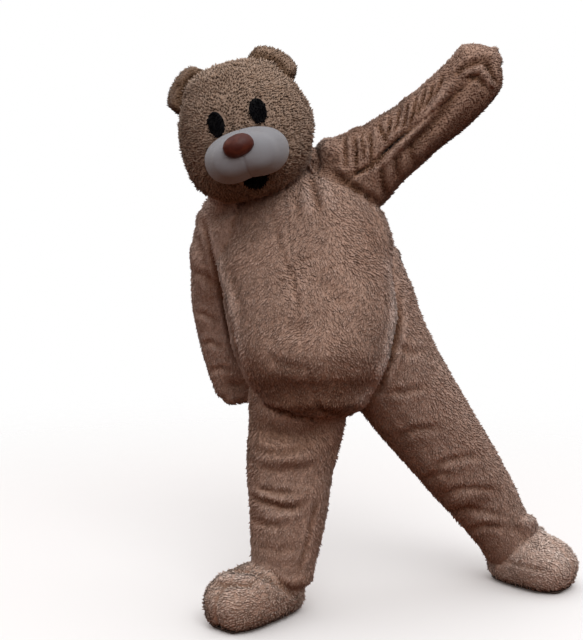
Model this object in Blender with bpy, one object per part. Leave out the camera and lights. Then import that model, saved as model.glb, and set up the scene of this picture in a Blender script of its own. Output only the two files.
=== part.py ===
"""Bear mascot costume of short curly plush, as worn: one arm raised, one leg out to the side.

Metres, +Z up, the face towards -Y. The origin is the wearer's neck, which holds the suit up.
Each cloth form is lofted from a short table of sections. Its outer points carry the folds,
its inside is plain, and the pieces that a maker would cut part at gaps as wide as SEAM.
"""

import math

import bmesh
import bpy
from mathutils import Matrix, Vector

# Cloth
PILE = 0.009
BACKING = 0.003
WALL = PILE + BACKING
SEAM = 0.0003

# Stance, in metres and degrees
NECK_HEIGHT = 1.33
SOLE_THICK = 0.010
TRUNK_TURN = 9.0
HEAD_TURN = 4.0
HEAD_TILT = 16.0

# Seams that part a form lengthwise: how far along it they are measured, and which way they face
CHEST_PLACE = 0.45
SIDE_SEAM_FORWARD = 0.045
RAISED_SLEEVE_SEAM = ((0.3, 1.0), (-0.64, 0.0, 0.77))
HANGING_SLEEVE_SEAM = ((0.1, 1.0), (-1.0, 0.0, 0.0))
LEG_SEAM = ((0.2, 0.9), (0.0, -1.0, 0.0))

# Face
EYE_APART = 0.132
EYE_UP = 0.046
EYE_HALF_WIDTH = 0.026
EYE_HALF_HEIGHT = 0.039
MOUTH_UP = -0.152
MOUTH_HALF_WIDTH = 0.040
MOUTH_HALF_HEIGHT = 0.036
FELT_SUNK = 0.003
NOSE_UP = -0.040

# Loft detail: rings along each form, points around it, and rings along its plain inside
CAP_RINGS = 3
OVAL_POINTS = 16
OVERRUN = 0.06
OVAL_REACH = 0.4
DETAIL_COLUMNS = ("rings", "around", "inner_rings")
DETAIL = {
    "trunk": (18, 28, 12),
    "raised_sleeve": (19, 16, 9),
    "hanging_sleeve": (12, 16, 9),
    "out_leg": (21, 18, 10),
    "standing_leg": (19, 18, 8),
    "foot": (7, 18, 7),
    "head": (9, 24, 9),
    "ear": (4, 16, 4),
    "muzzle": (5, 20, 5),
    "nose": (3, 14, 3),
}

# A form's rows give its sections. A fold lies at a share of the form's length and at an angle
# round it, where 90 degrees is the front, and fades along and around the form.
SECTION = ("x", "y", "height", "half_width", "front", "back")
FOLD = ("at", "angle", "along", "around", "raise_by")

TRUNK_ROWS = (
    (0.040, 0.012, 1.425, 0.105, 0.092, 0.105),
    (0.048, 0.012, 1.375, 0.135, 0.106, 0.125),
    (0.072, 0.008, 1.310, 0.208, 0.136, 0.140),
    (0.110, 0.000, 1.225, 0.266, 0.182, 0.148),
    (0.142, -0.010, 1.105, 0.277, 0.225, 0.152),
    (0.163, -0.020, 0.975, 0.274, 0.268, 0.158),
    (0.173, -0.030, 0.860, 0.260, 0.288, 0.170),
    (0.173, -0.040, 0.770, 0.229, 0.262, 0.166),
    (0.174, -0.050, 0.715, 0.188, 0.214, 0.146),
)
TRUNK_CAP = 0.092
TRUNK_FOLDS = (
    (0.17, 62.0, 0.13, 11.0, -0.010),
    (0.17, 44.0, 0.15, 11.0, 0.009),
    (0.14, 80.0, 0.10, 11.0, 0.007),
    (0.90, 112.0, 0.060, 30.0, -0.006),
    (0.84, 62.0, 0.055, 30.0, -0.007),
    (0.66, 74.0, 0.070, 12.0, -0.006),
    (0.52, 40.0, 0.050, 22.0, -0.005),
    (0.60, -60.0, 0.050, 30.0, -0.006),
    (0.72, -110.0, 0.050, 34.0, -0.007),
    (0.35, -90.0, 0.055, 40.0, -0.005),
)

RAISED_SLEEVE_ROWS = (
    (0.185, 0.012, 1.275, 0.090, 0.080, 0.085),
    (0.252, 0.008, 1.360, 0.128, 0.105, 0.110),
    (0.325, 0.000, 1.4345, 0.132, 0.108, 0.112),
    (0.417, -0.020, 1.4975, 0.106, 0.098, 0.100),
    (0.5065, -0.040, 1.567, 0.097, 0.092, 0.092),
    (0.593, -0.060, 1.6395, 0.098, 0.090, 0.090),
    (0.655, -0.075, 1.705, 0.094, 0.084, 0.086),
)
HANGING_SLEEVE_ROWS = (
    (-0.015, 0.020, 1.305, 0.080, 0.080, 0.080),
    (-0.080, 0.038, 1.245, 0.108, 0.098, 0.098),
    (-0.128, 0.072, 1.155, 0.106, 0.095, 0.096),
    (-0.148, 0.118, 1.050, 0.091, 0.084, 0.086),
    (-0.142, 0.155, 0.930, 0.088, 0.080, 0.082),
    (-0.120, 0.175, 0.820, 0.087, 0.078, 0.080),
    (-0.095, 0.185, 0.735, 0.085, 0.076, 0.078),
)
MITT_CAP = 0.088
RAISED_SLEEVE_FOLDS = (
    (0.27, 35.0, 0.022, 44.0, 0.008),
    (0.33, 40.0, 0.018, 40.0, -0.006),
    (0.39, 35.0, 0.020, 46.0, 0.009),
    (0.46, 35.0, 0.018, 42.0, -0.008),
    (0.53, 30.0, 0.022, 48.0, 0.010),
    (0.60, 38.0, 0.018, 40.0, -0.007),
    (0.67, 40.0, 0.020, 44.0, 0.008),
    (0.74, 42.0, 0.018, 38.0, -0.006),
    (0.80, 45.0, 0.022, 36.0, 0.007),
    (0.40, 130.0, 0.024, 28.0, 0.006),
    (0.36, -100.0, 0.024, 44.0, 0.006),
    (0.56, -95.0, 0.024, 50.0, -0.006),
    (0.70, -90.0, 0.024, 40.0, 0.006),
    (0.97, 95.0, 0.030, 16.0, -0.007),
)
HANGING_SLEEVE_FOLDS = (
    (0.34, 170.0, 0.024, 44.0, 0.006),
    (0.44, 150.0, 0.020, 40.0, -0.006),
    (0.56, 120.0, 0.022, 44.0, -0.006),
    (0.64, -120.0, 0.024, 46.0, 0.006),
    (0.75, 160.0, 0.022, 40.0, -0.005),
)

OUT_LEG_ROWS = (
    (0.225, 0.020, 1.170, 0.120, 0.100, 0.095),
    (0.275, 0.022, 1.090, 0.168, 0.130, 0.115),
    (0.315, 0.028, 0.990, 0.182, 0.152, 0.128),
    (0.370, 0.040, 0.870, 0.177, 0.162, 0.142),
    (0.425, 0.055, 0.775, 0.168, 0.160, 0.150),
    (0.490, 0.080, 0.665, 0.157, 0.152, 0.152),
    (0.576, 0.110, 0.544, 0.145, 0.140, 0.140),
    (0.645, 0.140, 0.448, 0.136, 0.130, 0.132),
    (0.710, 0.170, 0.357, 0.127, 0.118, 0.122),
    (0.768, 0.195, 0.270, 0.114, 0.108, 0.110),
    (0.818, 0.215, 0.185, 0.102, 0.100, 0.100),
    (0.850, 0.228, 0.110, 0.090, 0.090, 0.090),
)
STANDING_LEG_ROWS = (
    (0.140, 0.000, 0.900, 0.120, 0.105, 0.105),
    (0.128, 0.000, 0.810, 0.158, 0.150, 0.135),
    (0.120, -0.005, 0.710, 0.166, 0.158, 0.150),
    (0.112, -0.012, 0.610, 0.157, 0.150, 0.150),
    (0.092, -0.030, 0.490, 0.145, 0.140, 0.140),
    (0.085, -0.055, 0.333, 0.128, 0.122, 0.124),
    (0.070, -0.078, 0.172, 0.107, 0.104, 0.106),
    (0.072, -0.088, 0.095, 0.086, 0.088, 0.088),
)
OUT_LEG_FOLDS = (
    (0.42, 60.0, 0.018, 36.0, -0.006),
    (0.50, 110.0, 0.016, 40.0, -0.006),
    (0.58, 80.0, 0.018, 44.0, 0.008),
    (0.63, 85.0, 0.014, 46.0, -0.008),
    (0.69, 95.0, 0.016, 40.0, 0.008),
    (0.75, 100.0, 0.014, 44.0, -0.008),
    (0.82, 90.0, 0.016, 50.0, 0.008),
    (0.87, 110.0, 0.014, 46.0, -0.007),
    (0.60, -90.0, 0.020, 50.0, -0.008),
    (0.70, -80.0, 0.020, 44.0, 0.007),
    (0.93, -90.0, 0.020, 80.0, 0.006),
)
STANDING_LEG_FOLDS = (
    (0.36, 90.0, 0.018, 56.0, -0.007),
    (0.42, 80.0, 0.018, 50.0, 0.007),
    (0.47, 95.0, 0.016, 54.0, -0.007),
    (0.55, 90.0, 0.018, 50.0, 0.008),
    (0.60, 100.0, 0.015, 40.0, -0.009),
    (0.66, 85.0, 0.016, 44.0, 0.008),
    (0.71, 100.0, 0.015, 40.0, -0.008),
    (0.80, 110.0, 0.018, 40.0, -0.005),
    (0.94, 90.0, 0.022, 120.0, 0.012),
    (0.58, -90.0, 0.022, 56.0, -0.008),
    (0.68, -90.0, 0.022, 50.0, 0.008),
)

# Feet run from heel to toe, above their soles. Their front is the instep, their back the sole side.
FOOT_PROFILE = (
    (0.030, 0.062, 0.070, 0.070, 0.082),
    (0.085, 0.072, 0.098, 0.098, 0.092),
    (0.150, 0.078, 0.106, 0.102, 0.098),
    (0.215, 0.078, 0.110, 0.096, 0.098),
    (0.270, 0.074, 0.106, 0.084, 0.094),
    (0.308, 0.068, 0.088, 0.066, 0.082),
)
FOOT_PROFILE_COLUMNS = ("along", "height", "half_width", "front", "back")
HEEL_CAP = 0.032
TOE_CAP = 0.042
STANDING_HEEL = (0.110, -0.005)
STANDING_TOE = (-0.146, -0.278)
OUT_HEEL = (0.800, 0.290)
OUT_TOE = (1.038, 0.090)

# The head's rows run from its rim to its crown, up its own tilted axis from the head's centre.
HEAD_CENTRE = (-0.049, -0.048, 1.5415)
HEAD_PROFILE = (
    (-0.205, 0.160, 0.148, 0.152),
    (-0.165, 0.194, 0.180, 0.184),
    (-0.115, 0.215, 0.202, 0.202),
    (-0.050, 0.224, 0.212, 0.212),
    (0.020, 0.221, 0.212, 0.214),
    (0.090, 0.202, 0.196, 0.200),
    (0.145, 0.168, 0.164, 0.168),
)
HEAD_PROFILE_COLUMNS = ("up", "half_width", "front", "back")
CHIN_CAP = 0.038
CROWN_CAP = 0.078

# Ears and muzzle run outwards from the head.
EAR_ANGLE = 43.0
EAR_PROFILE = (
    (0.185, 0.078, 0.030, 0.034),
    (0.212, 0.086, 0.030, 0.034),
    (0.238, 0.078, 0.027, 0.030),
)
EAR_PROFILE_COLUMNS = ("out", "half_width", "front", "back")
EAR_CAP = 0.034
EAR_DISH = 0.030
EAR_BACK = 0.010
EAR_SEAM_BACK = 0.012
MUZZLE_UP = -0.082
MUZZLE_PROFILE = (
    (0.100, 0.124, 0.078, 0.080),
    (0.190, 0.130, 0.084, 0.084),
    (0.228, 0.122, 0.078, 0.078),
    (0.258, 0.102, 0.066, 0.066),
)
MUZZLE_PROFILE_COLUMNS = ("out", "half_width", "upper", "lower")
MUZZLE_CAP = 0.050
MUZZLE_FOLDS = ((0.60, -90.0, 0.80, 20.0, -0.017),)
NOSE_PROFILE = (
    (0.262, 0.034, 0.026, 0.026),
    (0.300, 0.043, 0.033, 0.031),
)
NOSE_CAP = 0.030

PLUSH = ("plush", (0.36, 0.24, 0.18), 0.95)
SOLE_CLOTH = ("sole_cloth", (0.13, 0.10, 0.085), 0.9)
MUZZLE_CLOTH = ("muzzle_cloth", (0.72, 0.70, 0.70), 0.8)
NOSE_VINYL = ("nose_vinyl", (0.20, 0.06, 0.035), 0.35)
BLACK_FELT = ("black_felt", (0.012, 0.012, 0.015), 0.85)


def clear_scene():
    for item in list(bpy.data.objects):
        bpy.data.objects.remove(item, do_unlink=True)


def named(columns, row):
    return dict(zip(columns, row))


def placed(x, y, height):
    """A point given by its height above the floor, in the frame whose origin is the wearer's neck."""
    return Vector((x, y, height - NECK_HEIGHT))


def direction(turn, tilt=0.0):
    """(across, forward, up) of a form turned towards -X and tilted to that side, in degrees."""
    tilted = Matrix.Rotation(math.radians(-tilt), 3, "Y")
    turned = Matrix.Rotation(math.radians(-turn), 3, "Z")
    both = tilted @ turned
    return both @ Vector((1, 0, 0)), both @ Vector((0, -1, 0)), both @ Vector((0, 0, 1))


def between(values, place):
    """The smooth curve through values (numbers or vectors), at a share of the way along it."""
    span = place * (len(values) - 1)
    i = min(int(span), len(values) - 2)
    t = span - i
    p1, p2 = values[i], values[i + 1]
    p0 = values[i - 1] if i > 0 else p1 * 2 - p2
    p3 = values[i + 2] if i + 2 < len(values) else p2 * 2 - p1
    return (
        p1 * 2
        + (p2 - p0) * t
        + (p0 * 2 - p1 * 5 + p2 * 4 - p3) * t**2
        + (p1 * 3 - p0 - p2 * 3 + p3) * t**3
    ) * 0.5


def power(value, exponent):
    return math.copysign(abs(value) ** exponent, value)


class Form:
    """A lofted form. Angle 0 of a section is across the form and 90 degrees is its front."""

    def __init__(self, kind, centres, widths, fronts, backs, facing, **more):
        self.columns = (centres, widths, fronts, backs)
        self.facing = facing
        self.detail = named(DETAIL_COLUMNS, DETAIL[kind])
        self.start_cap = more.get("start_cap", 0.0)
        self.end_cap = more.get("end_cap", 0.0)
        self.folds = [named(FOLD, row) for row in more.get("folds", ())]
        self.squareness = more.get("squareness", 2.2)
        self.dish = more.get("dish", 0.0)
        self.floor = more.get("floor")

    def axes(self, place):
        """(across, front, along) of the section at a share of the way along the spine."""
        step = 0.01
        low, high = max(0.0, place - step), min(1.0, place + step)
        centres = self.columns[0]
        along = (between(centres, high) - between(centres, low)).normalized()
        front = (self.facing - along * self.facing.dot(along)).normalized()
        return front.cross(along), front, along

    def stations(self, rings):
        """(place, shift along the spine, share of the full section) of each ring, caps included."""
        rows = []
        quarter = math.pi / 2
        if self.start_cap:
            for i in range(CAP_RINGS):
                turn = quarter * (1 - (i + 0.5) / (CAP_RINGS + 0.5))
                rows.append((0.0, -self.start_cap * math.sin(turn), math.cos(turn)))
        rows += [(i / (rings - 1), 0.0, 1.0) for i in range(rings)]
        if self.end_cap:
            for i in range(1, CAP_RINGS + 1):
                turn = quarter * i / (CAP_RINGS + 0.5)
                rows.append((1.0, self.end_cap * math.sin(turn), math.cos(turn)))
        return rows

    def fold_height(self, place, angle):
        total = 0.0
        for fold in self.folds:
            aside = (math.degrees(angle) - fold["angle"] + 180.0) % 360.0 - 180.0
            ahead = (place - fold["at"]) / fold["along"]
            total += fold["raise_by"] * math.exp(-(ahead**2) - (aside / fold["around"]) ** 2)
        return total

    def grid(self, inner=False, overrun=0.0):
        """Rings of points on the form's skin. Inside it has no folds and fewer points."""
        exponent = 2 / self.squareness
        rings = self.detail["inner_rings" if inner else "rings"]
        around = self.detail["around"] // (2 if inner else 1)
        skin = []
        for place, shift, share in self.stations(rings):
            across, front, along = self.axes(place)
            centre = between(self.columns[0], place)
            width, ahead, behind = (between(column, place) for column in self.columns[1:])
            closed = self.start_cap if place == 0.0 else self.end_cap
            if place in (0.0, 1.0) and not closed:
                shift = math.copysign(overrun, place - 0.5)
            ring = []
            for i in range(around):
                angle = 2 * math.pi * i / around
                reach = ahead if math.sin(angle) > 0 else behind
                lift = 0.0 if inner else self.fold_height(place, angle)
                u = power(math.cos(angle), exponent) * (width * share + lift)
                v = power(math.sin(angle), exponent) * (reach * share + lift)
                v -= self.dish * (1 - (u / width) ** 2) * share
                point = centre + across * u + front * v + along * shift
                if self.floor is not None and not inner:
                    point.z = max(point.z, self.floor)
                ring.append(point)
            skin.append(ring)
        return skin

    def solid(self, name, offset=0.0, inner=False, overrun=0.0, sides=()):
        """The closed solid inside the skin moved out by offset, kept on one side of each plane."""
        mesh = bmesh.new()
        rings = []
        for ring in self.grid(inner, overrun):
            rings.append([mesh.verts.new(point) for point in ring])
        count = len(rings[0])
        for low, high in zip(rings, rings[1:]):
            for i in range(count):
                j = (i + 1) % count
                mesh.faces.new((low[i], low[j], high[j]))
                mesh.faces.new((low[i], high[j], high[i]))
        mesh.normal_update()
        for corner in mesh.verts:
            corner.co += corner.normal * offset
        mesh.faces.new(reversed(rings[0]))
        mesh.faces.new(rings[-1])
        for point, normal, gap in sides:
            keep_side(mesh, point, normal, gap)
        return finished(name, mesh)


def finished(name, mesh):
    data = bpy.data.meshes.new(name)
    mesh.to_mesh(data)
    mesh.free()
    item = bpy.data.objects.new(name, data)
    bpy.context.scene.collection.objects.link(item)
    return item


def from_rows(kind, rows, facing, **more):
    """A form whose table holds places in the world."""
    table = [named(SECTION, row) for row in rows]
    centres = [placed(row["x"], row["y"], row["height"]) for row in table]
    sizes = [[row[key] for row in table] for key in SECTION[-3:]]
    return Form(kind, centres, *sizes, facing, **more)


def from_profile(kind, columns, rows, start, way, facing, **more):
    """A form whose table gives distances along a straight way from start."""
    table = [named(columns, row) for row in rows]
    centres = [start + way * row[columns[0]] for row in table]
    sizes = [[row[key] for row in table] for key in columns[-3:]]
    return Form(kind, centres, *sizes, facing, **more)


def as_cutter(item):
    item.hide_render = True
    item.display_type = "WIRE"
    return item


def combine(item, operation, *others):
    """One exact Boolean of an object with all the others at once."""
    group = bpy.data.collections.new(f"{operation.lower()}_{item.name}")
    for other in others:
        group.objects.link(other)
    step = item.modifiers.new(operation.lower(), "BOOLEAN")
    step.operation = operation
    step.solver = "EXACT"
    step.operand_type = "COLLECTION"
    step.collection = group


def keep_side(mesh, point, normal, gap):
    """Cut a closed mesh off at a plane, a gap inside it, and close it with a flat face."""
    everything = [*mesh.verts, *mesh.edges, *mesh.faces]
    cut = bmesh.ops.bisect_plane(
        mesh, geom=everything, dist=1e-6, plane_co=point + normal * gap, plane_no=normal,
        clear_inner=True,
    )
    rim = [item for item in cut["geom_cut"] if isinstance(item, bmesh.types.BMEdge)]
    bmesh.ops.edgeloop_fill(mesh, edges=rim)
    bmesh.ops.recalc_face_normals(mesh, faces=mesh.faces)


def seam_side(point, normal, gap=SEAM / 2):
    return point, normal, gap


def prism(name, centre, across, up, ahead, half_width, half_height, grow):
    """An oval prism that runs forwards from the middle of the head."""
    mesh = bmesh.new()
    ring = []
    for i in range(OVAL_POINTS):
        angle = 2 * math.pi * i / OVAL_POINTS
        u = math.cos(angle) * (half_width + grow)
        v = math.sin(angle) * (half_height + grow)
        ring.append(mesh.verts.new(centre + across * u + up * v))
    face = mesh.faces.new(ring)
    grown = bmesh.ops.extrude_face_region(mesh, geom=[face])["geom"]
    moved = [item for item in grown if isinstance(item, bmesh.types.BMVert)]
    bmesh.ops.translate(mesh, verts=moved, vec=ahead * OVAL_REACH)
    bmesh.ops.recalc_face_normals(mesh, faces=mesh.faces)
    return as_cutter(finished(name, mesh))


def material_of(finish):
    name, colour, roughness = finish
    found = bpy.data.materials.get(name)
    if found:
        return found
    made = bpy.data.materials.new(name)
    made.use_nodes = True
    shader = made.node_tree.nodes["Principled BSDF"]
    shader.inputs["Base Color"].default_value = (*colour, 1.0)
    shader.inputs["Roughness"].default_value = roughness
    made.diffuse_color = (*colour, 1.0)
    return made


def dress(item, finish):
    item.data.materials.append(material_of(finish))
    item.data.shade_smooth()
    item.data.set_sharp_from_angle(angle=math.radians(40))
    return item


def panel(name, form, hollow, cuts, sides):
    """One cut piece of a form's wall: its skin less its hollow and the forms that it is sewn to."""
    item = dress(form.solid(name, sides=sides), PLUSH)
    combine(item, "DIFFERENCE", hollow, *cuts)


def hollow_of(name, form, overrun=OVERRUN):
    return as_cutter(form.solid(name, offset=-WALL, inner=True, overrun=overrun))


def seam_cutter(name, form):
    """The form with the seam's gap round it, which trims the pieces sewn to its skin."""
    return as_cutter(form.solid(name, offset=SEAM, overrun=SEAM))


def foot_form(heel, toe):
    start = placed(*heel, 0.0)
    way = placed(*toe, 0.0) - start
    length = way.length
    way.normalize()
    table = [named(FOOT_PROFILE_COLUMNS, row) for row in FOOT_PROFILE]
    reach = length / (FOOT_PROFILE[-1][0] + TOE_CAP)
    up = Vector((0, 0, 1))
    centres = [start + way * row["along"] * reach + up * row["height"] for row in table]
    sizes = [[row[key] for row in table] for key in FOOT_PROFILE_COLUMNS[-3:]]
    ends = {"start_cap": HEEL_CAP, "end_cap": TOE_CAP, "floor": -NECK_HEIGHT}
    return Form("foot", centres, *sizes, up, squareness=2.3, **ends), way


def make_trunk(trunk, trunk_hollow, cores):
    across, forward, _ = direction(TRUNK_TURN)
    middle = between(trunk.columns[0], CHEST_PLACE)
    lean = (trunk.columns[0][-1] - trunk.columns[0][2]).normalized()
    side = middle + forward * SIDE_SEAM_FORWARD
    leftwards = forward.cross(lean).normalized()
    if leftwards.dot(across) < 0:
        leftwards.negate()
    for name, way in (("front_left", leftwards), ("front_right", -leftwards)):
        sides = (seam_side(side, forward), seam_side(middle, way))
        panel(name, trunk, trunk_hollow, cores, sides)
    panel("back", trunk, trunk_hollow, cores, (seam_side(side, -forward),))


def make_tube_pair(label, form, hollow, cuts, names, seam):
    """Two cut pieces of a sleeve or leg, parted by a plane through its spine."""
    (low, high), facing = seam
    start, end = between(form.columns[0], low), between(form.columns[0], high)
    run = (end - start).normalized()
    normal = Vector(facing)
    flat = (normal - run * normal.dot(run)).normalized()
    for name, way in zip(names, (flat, -flat)):
        sides = (seam_side((start + end) / 2, way),)
        panel(f"{label}_{name}", form, hollow, cuts, sides)


def make_foot(label, form, way, leg_core):
    up = Vector((0, 0, 1))
    sole_top = up * (SOLE_THICK - NECK_HEIGHT)
    hollow = hollow_of(f"hollow_{label}_foot", form)
    above = seam_side(sole_top, up, SEAM)
    below = seam_side(sole_top, -up, 0.0)
    centre = form.columns[0][2]
    aside = way.cross(up).normalized()
    for name, side in (("foot_inner", -aside), ("foot_outer", aside)):
        sides = (above, seam_side(centre, side))
        panel(f"{label}_{name}", form, hollow, (leg_core,), sides)
    dress(form.solid(f"{label}_sole", sides=(below,)), SOLE_CLOTH)


def make_head(head, trunk_cut, across, forward, up, centre):
    hollow = hollow_of("hollow_head", head)
    layer_base = as_cutter(head.solid("felt_base", offset=-PILE))
    pocket_base = as_cutter(head.solid("pocket_base", offset=-PILE - SEAM))
    pockets = []
    ovals = (
        ("eye_left", EYE_APART / 2, EYE_UP, EYE_HALF_WIDTH, EYE_HALF_HEIGHT),
        ("eye_right", -EYE_APART / 2, EYE_UP, EYE_HALF_WIDTH, EYE_HALF_HEIGHT),
        ("mouth", 0.0, MOUTH_UP, MOUTH_HALF_WIDTH, MOUTH_HALF_HEIGHT),
    )
    for name, aside, above, half_width, half_height in ovals:
        spot = centre + across * aside + up * above
        frame = (spot, across, up, forward, half_width, half_height)
        oval = prism(f"outline_{name}", *frame, 0.0)
        felt = dress(head.solid(name, offset=-FELT_SUNK), BLACK_FELT)
        combine(felt, "DIFFERENCE", layer_base)
        combine(felt, "INTERSECT", oval)
        pocket = prism(f"pocket_{name}", *frame, SEAM)
        combine(pocket, "DIFFERENCE", pocket_base)
        pockets.append(pocket)
    face_side, nape_side = seam_side(centre, forward), seam_side(centre, -forward)
    panel("head_face", head, hollow, (trunk_cut, *pockets), (face_side,))
    panel("head_back", head, hollow, (trunk_cut,), (nape_side,))


def make_ears(head_cut, across, forward, up, centre):
    for label, sign in (("left", 1), ("right", -1)):
        lean = math.radians(EAR_ANGLE)
        way = across * math.sin(lean) * sign + up * math.cos(lean)
        start = centre - forward * EAR_BACK
        form = from_profile(
            "ear", EAR_PROFILE_COLUMNS, EAR_PROFILE, start, way, forward,
            end_cap=EAR_CAP, dish=EAR_DISH,
        )
        middle = start + way * EAR_PROFILE[1][0] - forward * EAR_SEAM_BACK
        for name, side in (("front", forward), ("back", -forward)):
            ear = form.solid(f"ear_{label}_{name}", sides=(seam_side(middle, side),))
            combine(dress(ear, PLUSH), "DIFFERENCE", head_cut)


def make_muzzle(head_cut, across, forward, up, centre):
    start = centre + up * MUZZLE_UP
    muzzle = from_profile(
        "muzzle", MUZZLE_PROFILE_COLUMNS, MUZZLE_PROFILE, start, forward, up,
        end_cap=MUZZLE_CAP, folds=MUZZLE_FOLDS,
    )
    for label, side in (("left", across), ("right", -across)):
        cheek = muzzle.solid(f"muzzle_{label}", sides=(seam_side(start, side),))
        combine(dress(cheek, MUZZLE_CLOTH), "DIFFERENCE", head_cut)
    nose_start = centre + up * NOSE_UP
    nose = from_profile(
        "nose", MUZZLE_PROFILE_COLUMNS, NOSE_PROFILE, nose_start, forward, up, end_cap=NOSE_CAP
    )
    item = dress(nose.solid("nose"), NOSE_VINYL)
    combine(item, "DIFFERENCE", seam_cutter("cut_by_muzzle", muzzle))


def main():
    clear_scene()
    ahead = Vector((0, -1, 0))
    _, trunk_forward, _ = direction(TRUNK_TURN)
    trunk = from_rows(
        "trunk", TRUNK_ROWS, trunk_forward,
        end_cap=TRUNK_CAP, folds=TRUNK_FOLDS, squareness=2.25,
    )
    raised = from_rows(
        "raised_sleeve", RAISED_SLEEVE_ROWS, ahead, end_cap=MITT_CAP, folds=RAISED_SLEEVE_FOLDS
    )
    hanging = from_rows(
        "hanging_sleeve", HANGING_SLEEVE_ROWS, ahead, end_cap=MITT_CAP, folds=HANGING_SLEEVE_FOLDS
    )
    out_leg = from_rows("out_leg", OUT_LEG_ROWS, ahead, folds=OUT_LEG_FOLDS)
    standing_leg = from_rows("standing_leg", STANDING_LEG_ROWS, ahead, folds=STANDING_LEG_FOLDS)

    across, forward, up = direction(HEAD_TURN, HEAD_TILT)
    centre = placed(*HEAD_CENTRE)
    head = from_profile(
        "head", HEAD_PROFILE_COLUMNS, HEAD_PROFILE, centre, up, forward,
        start_cap=CHIN_CAP, end_cap=CROWN_CAP, squareness=2.15,
    )

    trunk_cut = seam_cutter("cut_by_trunk", trunk)
    head_cut = seam_cutter("cut_by_head", head)
    raised_hollow = hollow_of("hollow_raised_sleeve", raised, overrun=0.0)
    hanging_hollow = hollow_of("hollow_hanging_sleeve", hanging, overrun=0.0)
    out_hollow = hollow_of("hollow_out_leg", out_leg, overrun=0.0)
    standing_hollow = hollow_of("hollow_standing_leg", standing_leg, overrun=0.0)
    limb_hollows = (raised_hollow, hanging_hollow, out_hollow, standing_hollow)
    make_trunk(trunk, hollow_of("hollow_trunk", trunk), limb_hollows)

    sleeves = (
        ("left_sleeve", raised, raised_hollow, RAISED_SLEEVE_SEAM),
        ("right_sleeve", hanging, hanging_hollow, HANGING_SLEEVE_SEAM),
    )
    for label, sleeve, hollow, seam in sleeves:
        make_tube_pair(label, sleeve, hollow, (trunk_cut, head_cut), ("upper", "under"), seam)

    standing_foot, standing_way = foot_form(STANDING_HEEL, STANDING_TOE)
    out_foot, out_way = foot_form(OUT_HEEL, OUT_TOE)
    legs = (
        ("right", standing_leg, standing_hollow, standing_foot, standing_way),
        ("left", out_leg, out_hollow, out_foot, out_way),
    )
    for side, leg, hollow, foot, way in legs:
        cuts = (trunk_cut, seam_cutter(f"cut_by_{side}_foot", foot))
        make_tube_pair(f"{side}_leg", leg, hollow, cuts, ("front", "back"), LEG_SEAM)
        make_foot(side, foot, way, hollow)

    make_head(head, trunk_cut, across, forward, up, centre)
    make_ears(head_cut, across, forward, up, centre)
    make_muzzle(head_cut, across, forward, up, centre)


main()
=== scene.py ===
import math

import bmesh
import bpy
import numpy as np
from mathutils import Matrix, Vector
from mathutils.bvhtree import BVHTree
from mathutils.kdtree import KDTree


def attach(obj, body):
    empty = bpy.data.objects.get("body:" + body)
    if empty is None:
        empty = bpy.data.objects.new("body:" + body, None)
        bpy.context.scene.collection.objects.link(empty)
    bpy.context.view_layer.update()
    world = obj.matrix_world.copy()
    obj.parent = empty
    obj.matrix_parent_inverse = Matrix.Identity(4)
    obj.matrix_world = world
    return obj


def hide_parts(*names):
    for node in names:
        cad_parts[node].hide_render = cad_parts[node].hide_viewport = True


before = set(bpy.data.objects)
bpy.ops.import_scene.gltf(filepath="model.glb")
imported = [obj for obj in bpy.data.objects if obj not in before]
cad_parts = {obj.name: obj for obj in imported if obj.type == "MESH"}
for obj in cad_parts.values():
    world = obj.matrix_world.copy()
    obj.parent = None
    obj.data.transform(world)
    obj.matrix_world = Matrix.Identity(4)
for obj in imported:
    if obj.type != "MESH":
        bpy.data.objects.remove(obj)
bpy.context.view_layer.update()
neckHeight = 1.33  # the frame's origin is the wearer's neck, this far above the floor

# camera, at the photograph's angle
shot = {
    "place": Vector((0.095, -4.159, 0.197)),
    "aim": Vector((0.095, 0.0, -0.388)),
    "lens": 73.8,
    "sensor": 36.0,
    "pictureSize": (583, 640),
}


def makeCamera():
    data = bpy.data.cameras.new("camera")
    data.lens = shot["lens"]
    data.sensor_width = shot["sensor"]
    camera = bpy.data.objects.new("camera", data)
    camera.location = shot["place"]
    camera.rotation_mode = "QUATERNION"
    camera.rotation_quaternion = (shot["aim"] - shot["place"]).to_track_quat("-Z", "Y")
    bpy.context.scene.collection.objects.link(camera)
    bpy.context.scene.camera = camera
    print("camera placed")


def pictureOf(points):  # where points fall in the photograph's frame, in its pixels
    ahead = (shot["aim"] - shot["place"]).normalized()
    right = ahead.cross(Vector((0, 0, 1))).normalized()
    above = right.cross(ahead)
    width, height = shot["pictureSize"]
    focal = shot["lens"] / shot["sensor"] * max(width, height)
    offset = points - np.array(shot["place"])
    depth = offset @ np.array(ahead)
    across = width / 2 + focal * (offset @ np.array(right)) / depth
    down = height / 2 - focal * (offset @ np.array(above)) / depth
    return np.stack([across, down], axis=1)


# studio: a pale floor that fades out, an overcast sky and a large soft light overhead
studio = {
    "floorRadius": 5.0,
    "floorFade": (1.3, 3.6),
    "floorColour": (0.90, 0.90, 0.90, 1),
    "floorBounce": (0.20, 0.085, 0.05, 1),
    "backdrop": (1.0, 1.0, 1.0, 1),
    "skyTop": (1.34, 1.37, 1.40, 1),
    "skySide": (0.68, 0.57, 0.515, 1),
    "skyBelow": (0.045, 0.012, 0.006, 1),
    "skyPower": 1.0,
    "lights": {
        "key": {"place": (1.0, -4.0, 3.7), "size": 3.2, "power": 122},
    },
}


def addNode(tree, kind, **settings):  # a node with its properties and unlinked inputs set
    node = tree.nodes.new(kind)
    for key, value in settings.items():
        if key in node.inputs:
            node.inputs[key].default_value = value
        else:
            setattr(node, key, value)
    return node


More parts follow.
